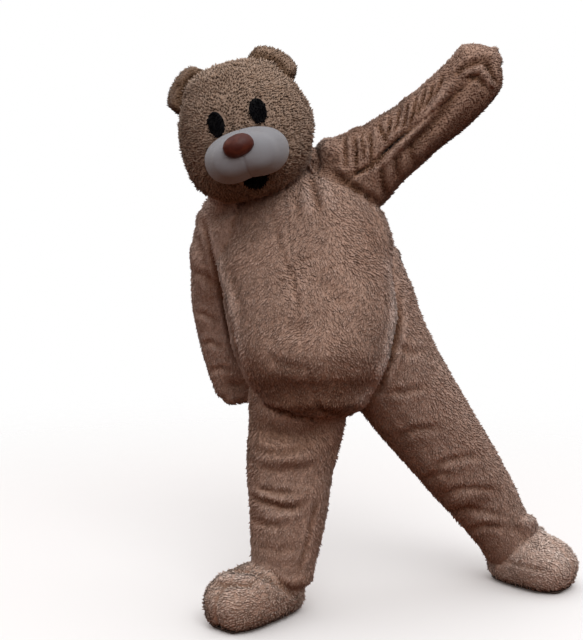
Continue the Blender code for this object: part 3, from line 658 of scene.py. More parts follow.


# creases: where they run in the photograph's pixels, their depth and half width in metres.
# A negative depth is a raised fold. On the far side a row lies where a view through the suit shows it.
creaseColumns = ("limb", "side", "depth", "width", "through")
creases = (
    ("leftSleeve", "front", 0.009, 0.007, ((344, 136), (345, 152), (345, 170))),
    ("leftSleeve", "front", 0.012, 0.007, ((353, 134), (355, 152), (357, 174))),
    ("leftSleeve", "front", 0.009, 0.006, ((361, 134), (363, 146), (364, 160))),
    ("leftSleeve", "front", 0.013, 0.007, ((368, 130), (371, 146), (371, 166))),
    ("leftSleeve", "front", 0.012, 0.007, ((377, 122), (382, 134), (388, 146))),
    ("leftSleeve", "front", 0.011, 0.006, ((390, 116), (389, 126), (386, 138))),
    ("leftSleeve", "front", 0.012, 0.006, ((399, 108), (397, 120), (394, 132))),
    ("leftSleeve", "front", 0.011, 0.006, ((407, 103), (405, 116), (402, 131))),
    ("leftSleeve", "front", 0.012, 0.006, ((416, 96), (413, 112), (408, 127))),
    ("leftSleeve", "front", 0.011, 0.006, ((425, 88), (421, 103), (415, 118))),
    ("leftSleeve", "front", 0.010, 0.006, ((433, 81), (429, 96), (423, 111))),
    ("leftSleeve", "front", 0.008, 0.006, ((442, 74), (438, 86), (432, 99))),
    ("leftSleeve", "front", 0.014, 0.008, ((340, 175), (356, 173), (371, 168), (379, 160), (392, 145), (407, 132), (418, 122))),
    ("leftSleeve", "front", 0.012, 0.010, ((382, 164), (383, 178), (386, 198))),
    ("leftSleeve", "front", 0.010, 0.010, ((397, 154), (397, 166), (399, 180))),
    ("leftSleeve", "front", 0.008, 0.010, ((411, 142), (412, 154), (415, 166))),
    ("leftSleeve", "front", 0.010, 0.009, ((452, 78), (462, 68), (474, 62), (486, 60))),
    ("leftSleeve", "front", 0.012, 0.008, ((485, 58), (490, 67), (494, 77), (499, 88))),
    ("leftSleeve", "front", -0.009, 0.009, ((468, 72), (479, 69), (486, 76), (492, 84), (500, 91))),
    ("leftSleeve", "front", 0.011, 0.009, ((460, 80), (470, 77), (479, 79), (486, 90))),
    ("leftSleeve", "front", -0.009, 0.012, ((380, 167), (395, 150), (411, 135), (422, 124), (432, 110), (443, 95), (455, 78))),
    ("leftSleeve", "front", 0.013, 0.018, ((398, 160), (420, 138), (440, 116), (452, 98), (466, 84))),
    ("leftSleeve", "round", -0.014, 0.040, ((452, 56), (468, 46), (484, 46), (498, 56))),
    ("leftSleeve", "round", -0.020, 0.020, ((489, 49), (497, 55), (504, 63))),
    ("leftSleeve", "round", 0.010, 0.025, ((334, 132), (352, 126), (372, 122))),
    ("leftSleeve", "round", -0.018, 0.030, ((302, 164), (317, 150), (336, 140))),
    ("trunk", "round", -0.018, 0.030, ((302, 164), (317, 150), (336, 140))),
    ("leftSleeve", "front", 0.014, 0.012, ((326, 168), (340, 178), (352, 186), (366, 196), (380, 205))),
    ("rightSleeve", "round", -0.026, 0.034, ((206, 390), (220, 404), (236, 410), (254, 406))),
    ("rightSleeve", "round", -0.030, 0.026, ((222, 402), (239, 404), (256, 398))),
    ("trunk", "front", 0.009, 0.011, ((310, 172), (314, 190), (320, 214))),
    ("trunk", "front", 0.004, 0.010, ((295, 190), (297, 204), (300, 220))),
    ("trunk", "front", -0.006, 0.014, ((302, 182), (306, 198), (310, 218))),
    ("trunk", "front", -0.006, 0.016, ((321, 172), (327, 190), (334, 214))),
    ("trunk", "front", 0.004, 0.009, ((268, 196), (275, 220), (281, 248), (290, 272), (298, 300), (302, 330))),
    ("trunk", "front", -0.005, 0.009, ((389, 262), (392, 285), (394, 312), (391, 335), (385, 361), (373, 388), (356, 406))),
    ("trunk", "front", 0.012, 0.009, ((398, 285), (400, 312), (397, 336), (391, 362), (378, 391), (361, 410))),
    ("leftLeg", "front", 0.014, 0.010, ((399, 285), (401, 312), (398, 336), (392, 362), (379, 391), (362, 410))),
    ("leftLeg", "front", -0.005, 0.007, ((405, 318), (403, 338), (397, 362), (386, 386))),
    ("trunk", "front", 0.016, 0.009, ((201, 206), (205, 233), (211, 257), (219, 284), (226, 310), (232, 340), (239, 366), (247, 399))),
    ("rightSleeve", "front", 0.016, 0.009, ((201, 206), (205, 233), (211, 257), (218, 284), (225, 310), (231, 340), (238, 366))),
    ("trunk", "front", -0.007, 0.011, ((210, 206), (213, 233), (218, 257), (226, 284), (234, 310), (240, 340))),
    ("rightSleeve", "front", 0.010, 0.016, ((196, 232), (203, 254), (211, 282), (217, 306))),
    ("trunk", "round", -0.042, 0.027, ((226, 190), (210, 198), (199, 206), (193, 226))),
    ("rightSleeve", "round", -0.042, 0.027, ((226, 190), (210, 198), (199, 206), (193, 226))),
    ("trunk", "round", -0.026, 0.032, ((372, 196), (388, 212), (394, 232), (404, 262))),
    ("leftLeg", "round", -0.026, 0.032, ((372, 196), (388, 212), (394, 232), (404, 262))),
    ("leftLeg", "round", 0.008, 0.040, ((410, 282), (430, 325), (448, 368))),
    ("leftLeg", "round", -0.026, 0.023, ((524, 515), (532, 527), (540, 539))),
    ("leftFoot", "round", -0.020, 0.020, ((522, 516), (532, 528), (544, 538))),
    ("leftFoot", "round", 0.016, 0.026, ((540, 520), (560, 528), (582, 542))),
    ("rightFoot", "round", -0.012, 0.024, ((202, 596), (208, 578), (226, 566))),
    ("trunk", "front", 0.003, 0.006, ((299, 260), (307, 258), (314, 255))),
    ("trunk", "front", 0.003, 0.006, ((318, 272), (328, 268), (338, 264))),
    ("trunk", "front", 0.006, 0.026, ((322, 276), (332, 290), (348, 308))),
    ("trunk", "front", 0.005, 0.024, ((284, 322), (296, 328), (306, 334))),
    ("trunk", "front", 0.005, 0.016, ((262, 356), (285, 364), (312, 372))),
    ("trunk", "front", 0.009, 0.010, ((272, 412), (300, 419), (334, 423))),
    ("trunk", "front", 0.007, 0.009, ((254, 404), (275, 410), (296, 414))),
    ("trunk", "front", 0.006, 0.009, ((312, 402), (326, 412), (346, 416))),
    ("rightSleeve", "front", 0.006, 0.010, ((193, 270), (203, 276), (214, 288))),
    ("rightSleeve", "front", 0.006, 0.009, ((192, 312), (204, 314), (218, 324))),
    ("rightSleeve", "front", 0.006, 0.009, ((198, 345), (210, 342), (226, 350))),
    ("rightSleeve", "front", 0.005, 0.009, ((206, 372), (220, 368), (236, 372))),
    ("rightLeg", "front", 0.014, 0.030, ((250, 424), (276, 434), (304, 436), (334, 424))),
    ("rightLeg", "front", 0.007, 0.011, ((248, 446), (262, 451), (284, 453), (310, 447))),
    ("rightLeg", "front", 0.005, 0.013, ((252, 466), (276, 470), (302, 468), (322, 462))),
    ("rightLeg", "front", 0.008, 0.010, ((254, 486), (274, 492), (298, 492))),
    ("rightLeg", "front", 0.011, 0.011, ((246, 496), (262, 501), (280, 508), (296, 508), (306, 502))),
    ("rightLeg", "front", -0.005, 0.014, ((256, 512), (276, 518), (298, 516))),
    ("rightLeg", "front", 0.005, 0.012, ((246, 518), (264, 524), (286, 525))),
    ("rightLeg", "front", 0.004, 0.013, ((256, 546), (276, 551), (298, 546))),
    ("rightLeg", "front", 0.010, 0.009, ((246, 566), (262, 571), (276, 577), (290, 588), (298, 596))),
    ("rightLeg", "front", 0.006, 0.008, ((319, 490), (314, 516), (307, 546), (299, 576))),
    ("leftLeg", "front", 0.006, 0.013, ((392, 440), (414, 430), (442, 428))),
    ("leftLeg", "front", 0.006, 0.013, ((428, 470), (452, 460), (484, 454))),
    ("leftLeg", "front", 0.007, 0.012, ((438, 496), (465, 488), (500, 490))),
    ("leftLeg", "front", 0.007, 0.012, ((440, 514), (468, 508), (506, 516))),
    ("leftLeg", "front", 0.006, 0.012, ((420, 482), (436, 474), (456, 474))),
    ("leftLeg", "front", 0.006, 0.011, ((460, 532), (484, 526), (510, 528))),
    ("leftLeg", "front", 0.006, 0.012, ((396, 345), (410, 352), (428, 350))),
    ("leftLeg", "front", 0.006, 0.012, ((386, 392), (404, 392), (430, 386))),
    ("rightFoot", "front", 0.011, 0.008, ((206, 590), (219, 582), (235, 584), (250, 585), (260, 577))),
    ("rightFoot", "front", -0.007, 0.012, ((212, 583), (228, 576), (250, 577))),
    ("rightFoot", "front", 0.008, 0.008, ((220, 573), (238, 569), (258, 572))),
    ("rightFoot", "front", 0.009, 0.010, ((256, 572), (272, 580), (290, 592), (300, 600))),
    ("leftFoot", "front", 0.006, 0.008, ((500, 560), (522, 566), (548, 572))),
    ("leftSleeve", "back", 0.006, 0.012, ((352, 150), (356, 164), (360, 178))),
    ("leftSleeve", "back", 0.006, 0.012, ((374, 134), (380, 150), (388, 166))),
    ("leftSleeve", "back", 0.006, 0.010, ((396, 118), (402, 134), (412, 150))),
    ("leftSleeve", "back", 0.006, 0.010, ((420, 98), (428, 112), (440, 128))),
    ("leftSleeve", "back", 0.005, 0.012, ((446, 76), (456, 90), (466, 104))),
    ("trunk", "back", 0.005, 0.018, ((240, 236), (290, 246), (350, 240))),
    ("trunk", "back", 0.006, 0.018, ((236, 310), (280, 322), (330, 316))),
    ("trunk", "back", 0.006, 0.017, ((300, 352), (340, 346), (386, 332))),
    ("trunk", "back", 0.005, 0.016, ((262, 372), (300, 384), (344, 380))),
    ("rightSleeve", "back", 0.005, 0.013, ((194, 262), (208, 270), (224, 272))),
    ("rightSleeve", "back", 0.005, 0.013, ((194, 304), (210, 312), (228, 312))),
    ("rightSleeve", "back", 0.004, 0.013, ((200, 348), (216, 354), (232, 350))),
    ("rightLeg", "back", 0.007, 0.014, ((254, 474), (290, 482), (326, 476))),
    ("rightLeg", "back", 0.007, 0.013, ((256, 502), (288, 498), (320, 506))),
    ("rightLeg", "back", 0.006, 0.013, ((256, 534), (284, 540), (314, 534))),
    ("leftLeg", "back", 0.007, 0.014, ((410, 460), (440, 470), (482, 462))),
    ("leftLeg", "back", 0.007, 0.013, ((430, 494), (462, 490), (500, 500))),
    ("leftLeg", "back", 0.006, 0.013, ((456, 524), (484, 528), (514, 520))),
)
creaseLip = 0.35  # the share of its depth that a crease heaps up on either side


def distanceAlong(spots, through):  # each spot's distance from a line, and how far along it it is
    stops = np.array(through, float)
    lengths = np.linalg.norm(np.diff(stops, axis=0), axis=1)
    starts = np.concatenate([[0], np.cumsum(lengths)])
    away = np.full(len(spots), 1e9)
    along = np.zeros(len(spots))
    for i, length in enumerate(lengths):
        run = (stops[i + 1] - stops[i]) / length
        share = np.clip((spots - stops[i]) @ run, 0, length)
        gap = np.linalg.norm(spots - stops[i] - share[:, None] * run, axis=1)
        closer = gap < away
        away[closer] = gap[closer]
        along[closer] = (starts[i] + share[closer]) / starts[-1]
    return away, along


def creaseLift(points, normals, onLimb):
    spots = pictureOf(points)
    ray = np.array(shot["place"]) - points
    ray /= np.linalg.norm(ray, axis=1)[:, None]
    facing = (normals * ray).sum(axis=1)
    metresPerPixel = np.linalg.norm(points - np.array(shot["place"]), axis=1) / (
        shot["lens"] / shot["sensor"] * max(shot["pictureSize"])
    )
    lift, creaseShade = np.zeros(len(points)), np.zeros(len(points))
    for values in creases:
        row = dict(zip(creaseColumns, values))
        seen = {"front": facing, "back": -facing, "round": np.ones(len(points))}[row["side"]]
        near = (onLimb == list(limbs).index(row["limb"])) & (seen > 0.02)
        away, along = distanceAlong(spots[near], row["through"])
        across = away * metresPerPixel[near] / row["width"]
        shape = np.exp(-(across**2)) - creaseLip * np.exp(-((across - 1.9) ** 2) * 1.4)
        ends = np.clip(np.sin(np.pi * np.clip(along, 0.02, 0.98)) * 1.5, 0, 1)
        fade = np.clip((seen[near] - 0.02) / 0.3, 0, 1)
        lift[near] -= row["depth"] * shape * ends * fade
        # painted shade in the crease and painted light on its lips, as strong as the crease is steep
        creaseShade[near] -= row["depth"] / row["width"] * shape * ends * fade
    return lift, creaseShade


def waves(points, size, seed):  # a smooth field from -1 to 1, with bumps of about this size
    total = np.zeros(len(points))
    rng = np.random.default_rng(seed)
    for _ in range(6):
        way = rng.normal(size=3)
        way /= np.linalg.norm(way)
        total += np.sin(points @ way * 2 * np.pi / (size * rng.uniform(0.8, 1.5)) + rng.uniform(0, 6.3))
    return total / 3.5


def napOf(points, normals, onLimb, swirl=0.85):  # the way the pile lies, along the limb and swirled
    way = np.zeros_like(points)
    for i, point in enumerate(points):
        name = list(limbs)[onLimb[i]]
        if name == "head":
            continue
        tree, ways = limbTrees[name]
        way[i] = ways[tree.find(point)[1]]
    face = np.array([-0.10, -0.30, 1.46 - neckHeight])
    onHead = onLimb == list(limbs).index("head")
    way[onHead] = points[onHead] - face
    way -= normals * (way * normals).sum(axis=1)[:, None]
    way /= np.maximum(np.linalg.norm(way, axis=1), 1e-6)[:, None]
    turn = waves(points, 0.16, 5) * swirl
    aside = np.cross(normals, way)
    return way * np.cos(turn)[:, None] + aside * np.sin(turn)[:, None]


# plush shells
plush = {
    "voxel": 0.009,
    "pileDepth": 0.0045,  # the tufts fill this much of the wall, and the cloth lies under them
    "backing": 0.0025,
    "smoothing": 16,
    "seamDepth": 0.0065,
    "seamWidth": 0.008,
    "seamReach": 0.028,
    "slack": 0.0020,  # soft unevenness of a loose cloth
    "slackSize": 0.09,
}


# seams that hardly show, in the photograph's pixels: the centre seam, and the mitt's tip
quietSeams = (
    {
        "through": (
            (286, 180), (288, 200), (291, 225), (294, 262), (298, 292), (303, 318), (308, 345), (313, 370),
            (318, 392), (322, 416),
        ),
        "width": 9, "share": 0.9,
    },
    {"through": ((470, 60), (486, 62), (496, 57), (508, 48)), "width": 12, "share": 1.0},
    {"through": ((318, 132), (318, 146), (319, 160), (322, 174)), "width": 12, "share": 1.0},
    {"through": ((232, 360), (235, 378), (235, 394), (236, 412)), "width": 8, "share": 1.0},
)


def quietened(points, normals):
    ray = np.array(shot["place"]) - points
    facing = (ray * normals).sum(axis=1) > -0.4
    quiet = np.zeros(len(points))
    for row in quietSeams:
        away, along = distanceAlong(pictureOf(points), row["through"])
        ends = np.clip(along * 20, 0, 1)
        quiet = np.maximum(quiet, row["share"] * np.exp(-((away / row["width"]) ** 2)) * ends * facing)
    return quiet


limbShade = {  # painted light and shade per limb: how much lighter or darker a limb is painted on its front
    "leftSleeve": -0.34, "rightSleeve": 0.34, "leftLeg": 0.22, "leftFoot": 0.40,
}
shades = (  # painted shadows and painted light along a line of the photograph, its width in pixels
    {"limb": "trunk", "through": ((268, 396), (300, 402), (336, 400)), "width": 17, "change": -0.50},
    {"limb": "rightLeg", "through": ((262, 436), (292, 446), (326, 440)), "width": 18, "change": -0.34},
    {"limb": "trunk", "through": ((390, 262), (393, 300), (390, 336), (380, 372), (362, 402)), "width": 6,
     "change": 0.45},
    {"limb": "trunk", "through": ((222, 300), (233, 340), (243, 380), (250, 400)), "width": 7, "change": 0.30},
    {"limb": "leftFoot", "through": ((526, 530), (548, 540), (574, 552)), "width": 9, "change": 0.40},
    {"limb": "leftLeg", "through": ((400, 320), (398, 350), (388, 384)), "width": 12, "change": -0.30},
)


# painted light and shade for each point, per limb and along the lines above
def shadeOf(points, normals, onLimb):
    shade = np.zeros(len(points))
    for name, change in limbShade.items():
        shade[onLimb == list(limbs).index(name)] = change
    shade *= np.clip((0.35 - normals[:, 1]) / 0.7, 0, 1)  # it fades out towards the back
    for row in shades:
        away, along = distanceAlong(pictureOf(points), row["through"])
        near = (onLimb == list(limbs).index(row["limb"])) & (points[:, 1] < 0.1)
        shade += near * row["change"] * np.exp(-((away / row["width"]) ** 2))
    return shade


collar = {"reach": 0.24, "above": -0.18, "aim": Vector((-0.03, 0.0, 0.30)), "rise": (0.022, 0.022, 0.022)}


def turnUpCollar(bm):  # carries the neckline on into the head, so that no gap shows under the chin
    for rise in collar["rise"]:
        rim = [
            edge for edge in bm.edges
            if edge.is_boundary
            and all(vert.co.z > collar["above"] and vert.co.xy.length < collar["reach"] for vert in edge.verts)
        ]
        grown = bmesh.ops.extrude_edge_only(bm, edges=rim)["geom"]
        for vert in grown:
            if isinstance(vert, bmesh.types.BMVert):
                vert.co += (collar["aim"] - vert.co).normalized() * rise
    bmesh.ops.recalc_face_normals(bm, faces=bm.faces)
    print("collar:", len(rim), "edges")


def makeShell(label, names, rows, filling=(), inset=plush["pileDepth"]):
    bm = evened(fromNodes(*names, *filling), plush["voxel"])
    mark = keepOutside(bm, names, rows)
    largestIsland(bm)
    bmesh.ops.holes_fill(bm, edges=bm.edges, sides=16)
    if label == "suit":
        turnUpCollar(bm)
    smoothed(bm, plush["smoothing"], keepSize=True)
    smoothed(bm, 2)
    bm.verts.ensure_lookup_table()
    limbOf = [list(limbs).index(rows[name]["limb"]) for name in names]
    onLimb = np.array([limbOf[vert.link_faces[0][mark]] if vert.link_faces else 0 for vert in bm.verts])
    points, normals = pointsOf(bm), normalsOf(bm)
    gaps = seamGaps(points, names, plush["seamReach"])
    seam = np.exp(-((gaps / plush["seamWidth"]) ** 2)) * (1 - quietened(points, normals))
    crease, creaseShade = creaseLift(points, normals, onLimb)
    crease *= 1 - 0.6 * seam
    lift = -inset - plush["seamDepth"] * seam + crease
    lift += waves(points, plush["slackSize"], 3) * plush["slack"] * (1 - seam)
    under = np.clip((-normals[:, 2] - 0.25) / 0.6, 0, 1)  # painted shade on faces that look downward
    # painted light and shade kept as a colour field: darker in crease valleys and at seams, lighter on crease
    # lips and raised folds, plus the painted light and shade of shadeOf
    fold = np.clip(creaseShade * 0.6, -1.0, 0.4) - 0.6 * seam**3 - 0.45 * under + shadeOf(points, normals, onLimb)
    moveTo(bm, points + normals * lift[:, None])
    smoothed(bm, 1)
    points, normals = pointsOf(bm), normalsOf(bm)
    nap = napOf(points, normals, onLimb)
    print(label, "shell:", len(bm.faces), "faces")
    bare = 1 - 0.6 * seam**4
    fields = {"nap": nap, "upright": normals, "fold": fold, "trim": 1 - 0.5 * seam, "cover": bare}
    return bm, fields


def addFields(bm, fields):  # vertex attributes that the pile reads
    for name, values in fields.items():
        if values.ndim == 2:
            layer = bm.verts.layers.float_vector.new(name)
        else:
            layer = bm.verts.layers.float.new(name)
        for vert, value in zip(bm.verts, values):
            vert[layer] = Vector(value) if values.ndim == 2 else float(value)


def cutOut(bm, index):  # one panel of a shell
    part = bm.copy()
    mark = part.faces.layers.int["panel"]
    others = [face for face in part.faces if face[mark] != index]
    bmesh.ops.delete(part, geom=others, context="FACES")
    return part


# pile: short curled locks, each a closed horn of ten triangles
lock = {"length": 0.0125, "root": 0.0034, "bend": 0.0030, "waist": 0.45, "sides": 3}


def makeLock(name, row):
    bm = bmesh.new()
    bmesh.ops.create_circle(bm, cap_ends=True, segments=row["sides"], radius=row["root"])
    along = bm.verts.layers.float.new("along")
    heights = ((row["waist"], 0.85, 0.25), (1.0, 0.0, 1.0))
    top = list(bm.faces)
    base = bm.faces[:]
    for height, width, bend in heights:
        grown = bmesh.ops.extrude_face_region(bm, geom=top, use_keep_orig=top == base)["geom"]
        verts = [item for item in grown if isinstance(item, bmesh.types.BMVert)]
        top = [item for item in grown if isinstance(item, bmesh.types.BMFace)]
        middle = sum((vert.co for vert in verts), Vector()) / len(verts)
        target = Vector((row["bend"] * bend, 0, row["length"] * height))
        size = width * row["root"] / max((verts[0].co - middle).length, 1e-9)
        for vert in verts:
            vert.co = target + (vert.co - middle) * size
            vert[along] = height
    bmesh.ops.remove_doubles(bm, verts=bm.verts, dist=1e-6)
    bmesh.ops.recalc_face_normals(bm, faces=bm.faces)
    piece = linked(name, bm)
    piece.hide_render = True
    piece.hide_viewport = True
    return piece


def makePileTree():  # geometry nodes: locks over a shell, leaning with its nap
    tree = bpy.data.node_groups.new("plushPile", "GeometryNodeTree")
    sockets = (
        ("Geometry", "NodeSocketGeometry"), ("Lock", "NodeSocketObject"), ("Spacing", "NodeSocketFloat"),
        ("Lean", "NodeSocketFloat"), ("Curl", "NodeSocketFloat"), ("Curl Size", "NodeSocketFloat"),
        ("Size", "NodeSocketFloat"), ("Seed", "NodeSocketInt"),
    )
    for name, kind in sockets:
        tree.interface.new_socket(name, in_out="INPUT", socket_type=kind)
    tree.interface.new_socket("Geometry", in_out="OUTPUT", socket_type="NodeSocketGeometry")
    link = tree.links.new
    start, end = addNode(tree, "NodeGroupInput"), addNode(tree, "NodeGroupOutput")
    source = start.outputs

    def vectorStep(operation, first, second=None, scale=None):
        node = addNode(tree, "ShaderNodeVectorMath", operation=operation)
        for socket, value in zip(node.inputs, (first, second)):
            if isinstance(value, tuple):
                socket.default_value = value
            elif value is not None:
                link(value, socket)
        if scale is not None:
            link(scale, node.inputs["Scale"])
        return node.outputs["Vector"]

    def attribute(name, kind):
        return addNode(tree, "GeometryNodeInputNamedAttribute", data_type=kind, Name=name).outputs["Attribute"]

    def random(kind, low, high, offset):
        node = addNode(tree, "FunctionNodeRandomValue", data_type=kind)
        for socket, value in zip([s for s in node.inputs if s.enabled][:2], (low, high)):
            socket.default_value = value
        link(mathStep(tree, "ADD", source["Seed"], offset), node.inputs["Seed"])
        return next(s for s in node.outputs if s.enabled)

    scatter = addNode(tree, "GeometryNodeDistributePointsOnFaces", distribute_method="POISSON")
    link(source["Geometry"], scatter.inputs["Mesh"])
    link(source["Spacing"], scatter.inputs["Distance Min"])
    scatter.inputs["Density Max"].default_value = 60000
    link(attribute("cover", "FLOAT"), scatter.inputs["Density Factor"])
    link(source["Seed"], scatter.inputs["Seed"])
    place = addNode(tree, "GeometryNodeInputPosition").outputs["Position"]
    noise = addNode(tree, "ShaderNodeTexNoise", Detail=1.0)
    link(place, noise.inputs["Vector"])
    link(mathStep(tree, "DIVIDE", 1.0, source["Curl Size"]), noise.inputs["Scale"])
    wander = vectorStep("SUBTRACT", noise.outputs["Color"], (0.5, 0.5, 0.5))
    wander = vectorStep("SCALE", wander, scale=source["Curl"])
    lean = vectorStep("SCALE", attribute("nap", "FLOAT_VECTOR"), scale=source["Lean"])
    jitter = random("FLOAT_VECTOR", (-0.3, -0.3, -0.3), (0.3, 0.3, 0.3), 3)
    way = vectorStep("ADD", vectorStep("ADD", scatter.outputs["Normal"], lean), vectorStep("ADD", wander, jitter))
    stand = addNode(tree, "FunctionNodeAlignRotationToVector", axis="Z")
    link(way, stand.inputs["Vector"])
    spin = addNode(tree, "FunctionNodeRotateRotation", rotation_space="LOCAL")
    link(stand.outputs["Rotation"], spin.inputs["Rotation"])
    turned = addNode(tree, "ShaderNodeCombineXYZ")
    link(random("FLOAT", 0.0, 2 * math.pi, 5), turned.inputs["Z"])
    link(turned.outputs["Vector"], spin.inputs["Rotate By"])
    size = mathStep(tree, "MULTIPLY", random("FLOAT", 0.72, 1.15, 7), attribute("trim", "FLOAT"))
    size = mathStep(tree, "MULTIPLY", size, source["Size"])
    place = addNode(tree, "GeometryNodeInstanceOnPoints")
    shape = addNode(tree, "GeometryNodeObjectInfo")
    link(source["Lock"], shape.inputs["Object"])
    link(scatter.outputs["Points"], place.inputs["Points"])
    link(shape.outputs["Geometry"], place.inputs["Instance"])
    link(spin.outputs["Rotation"], place.inputs["Rotation"])
    link(size, place.inputs["Scale"])
    store = addNode(tree, "GeometryNodeStoreNamedAttribute", data_type="FLOAT", domain="INSTANCE", Name="tuft")
    link(place.outputs["Instances"], store.inputs["Geometry"])
    link(random("FLOAT", 0.0, 1.0, 9), next(s for s in store.inputs if s.name == "Value" and s.enabled))
    real = addNode(tree, "GeometryNodeRealizeInstances")
    link(store.outputs["Geometry"], real.inputs["Geometry"])
    link(real.outputs["Geometry"], end.inputs["Geometry"])
    return tree


pileTree = makePileTree()
bodyLock = makeLock("bodyLock", lock)
pileKinds = {
    "body": {"Lock": bodyLock, "Spacing": 0.0060, "Lean": 1.9, "Curl": 3.3, "Curl Size": 0.015, "Size": 1.0},
    "head": {"Lock": bodyLock, "Spacing": 0.0058, "Lean": 1.6, "Curl": 5.0, "Curl Size": 0.020, "Size": 1.0},
    "sleeve": {"Lock": bodyLock, "Spacing": 0.0058, "Lean": 2.3, "Curl": 2.2, "Curl Size": 0.013, "Size": 0.85},
    "foot": {"Lock": bodyLock, "Spacing": 0.0058, "Lean": 1.5, "Curl": 3.6, "Curl Size": 0.016, "Size": 1.0},
    "ear": {"Lock": bodyLock, "Spacing": 0.0056, "Lean": 2.0, "Curl": 4.0, "Curl Size": 0.018, "Size": 0.85},
    "felt": {"Lock": bodyLock, "Spacing": 0.0042, "Lean": 0.8, "Curl": 2.2, "Curl Size": 0.020, "Size": 0.70},
}


def growPile(name, host, kind, finish, slotName, seed):
    skin = bpy.data.objects.new("skin", host.data)
    bpy.context.scene.collection.objects.link(skin)
    step = skin.modifiers.new("pile", "NODES")
    step.node_group = pileTree
    values = {**pileKinds[kind], "Seed": seed}
    for item in pileTree.interface.items_tree:
        if item.in_out == "INPUT" and item.name in values:
            step[item.identifier] = values[item.name]
    graph = bpy.context.evaluated_depsgraph_get()
    mesh = bpy.data.meshes.new_from_object(skin.evaluated_get(graph), depsgraph=graph)
    bpy.data.objects.remove(skin)
    mesh.name = name
    pile = bpy.data.objects.new(name, mesh)
    bpy.context.scene.collection.objects.link(pile)
    mesh.shade_smooth()
    return dressed(pile, finish, slotName)


def thicken(piece):
    step = piece.modifiers.new("backing", "SOLIDIFY")
    step.thickness = plush["backing"]
    step.offset = -1.0
    return piece


def makePanels(bm, fields, names, kinds, seed):
    addFields(bm, fields)
    for index, name in enumerate(names):
        kind, backing, finish, slotName = kinds(name)
        cloth = linked("cloth_" + name, cutOut(bm, index))
        cloth.data.shade_smooth()
        pile = growPile("pile_" + name, cloth, kind, finish, slotName, seed + index)
        dressed(thicken(cloth), backing, slotName, name)
        print(name, "made,", len(pile.data.polygons), "faces of pile")
    bm.free()


def suitKinds(name):
    if "foot" in name:
        return "foot", "bodyBase", "footPlush", "foot_plush"
    if "sleeve" in name:
        return "sleeve", "bodyBase", "bodyPlush", "plush"
    return "body", "bodyBase", "bodyPlush", "plush"


def makeSuit():
    names = list(panels)
    bm, fields = makeShell("suit", names, panels)
    makePanels(bm, fields, names, suitKinds, seed=11)


# padded pieces; each solid gives its size, and a seam is drawn in where two of them meet
pads = {
    "ear": {"voxel": 0.004, "smoothing": 5, "inset": 0.001, "seamDepth": 0.004, "seamWidth": 0.006},
    "muzzle": {"voxel": 0.0035, "smoothing": 45, "inset": -0.001, "seamDepth": 0.0022, "seamWidth": 0.0030},
    "nose": {"voxel": 0.0022, "smoothing": 10, "inset": -0.0025},
    "felt": {"voxel": 0.003, "smoothing": 5, "inset": -0.0005},
    "sole": {"voxel": 0.0038, "smoothing": 3, "inset": 0.0},
}


# how far the pads of the face are moved from their solids, in metres
faceShift = {
    "muzzle": Vector((0.002, 0.0, 0.010)), "nose": Vector((-0.001, 0.0, -0.001)),
    "mouth": Vector((0.004, 0.004, 0.012)), "eye_left": Vector((0.007, 0.0, -0.001)),
    "eye_right": Vector((0.010, 0.0, -0.004)),
}


def makePad(names, row):
    bm = evened(fromNodes(*names), row["voxel"])
    largestIsland(bm)
    loose = [vert for vert in bm.verts if not vert.link_faces]
    bmesh.ops.delete(bm, geom=loose, context="VERTS")
    smoothed(bm, row["smoothing"])
    points, normals = pointsOf(bm), normalsOf(bm)
    lift = np.full(len(points), -row["inset"])
    seam = np.zeros(len(points))
    if len(names) > 1:
        seam = np.exp(-((seamGaps(points, names, 4 * row["seamWidth"]) / row["seamWidth"]) ** 2))
        lift -= row["seamDepth"] * seam
    moveTo(bm, points + normals * lift[:, None])
    return bm, seam


chin = {"toward": Vector((0.45, 0.35, -0.80)).normalized(), "from": 0.30, "to": 0.66, "depth": 0.026}


cheek = {"toward": Vector((-0.90, -0.10, -0.42)).normalized(), "from": 0.45, "to": 0.95, "depth": 0.009}


def drawIn(bm, row):  # makes the head narrower in one direction
    middle = np.array(limbs["head"][0]) - (0, 0, neckHeight)
    points = pointsOf(bm)
    out = (points - middle) / np.linalg.norm(points - middle, axis=1)[:, None]
    share = np.clip((out @ np.array(row["toward"]) - row["from"]) / (row["to"] - row["from"]), 0, 1)
    share = share * share * (3 - 2 * share)
    moveTo(bm, points - out * (row["depth"] * share)[:, None])


def makeHead():
    names = list(headPanels)
    bm, fields = makeShell("head", names, headPanels, ("eye_left", "eye_right", "mouth"), inset=0.0095)
    drawIn(bm, chin)
    drawIn(bm, cheek)
    points = pointsOf(bm)
    covered = gapToNodes(points - np.array(faceShift["muzzle"]), ("muzzle_left", "muzzle_right"), 0.03) < 0.003
    for name in ("eye_left", "eye_right", "mouth"):
        covered |= gapToNodes(points - np.array(faceShift[name]), (name,), 0.03) < 0.0038
    earNames = [f"ear_{side}_{face}" for side in ("left", "right") for face in ("front", "back")]
    # painted shade on the head around the roots of the ears
    fields["fold"] -= 0.8 * np.exp(-((gapToNodes(points, earNames, 0.06) / 0.012) ** 2))
    fields["cover"][covered] = 0.0
    makePanels(bm, fields, names, lambda name: ("head", "headBase", "headPlush", "head_plush"), seed=41)


earShift = {"left": (-0.015, 0.0, 0.004), "right": (0.007, 0.0, 0.011)}
earFront, earRoot = 0.036, 0.020  # how far the front is puffed, and the root drawn into the head


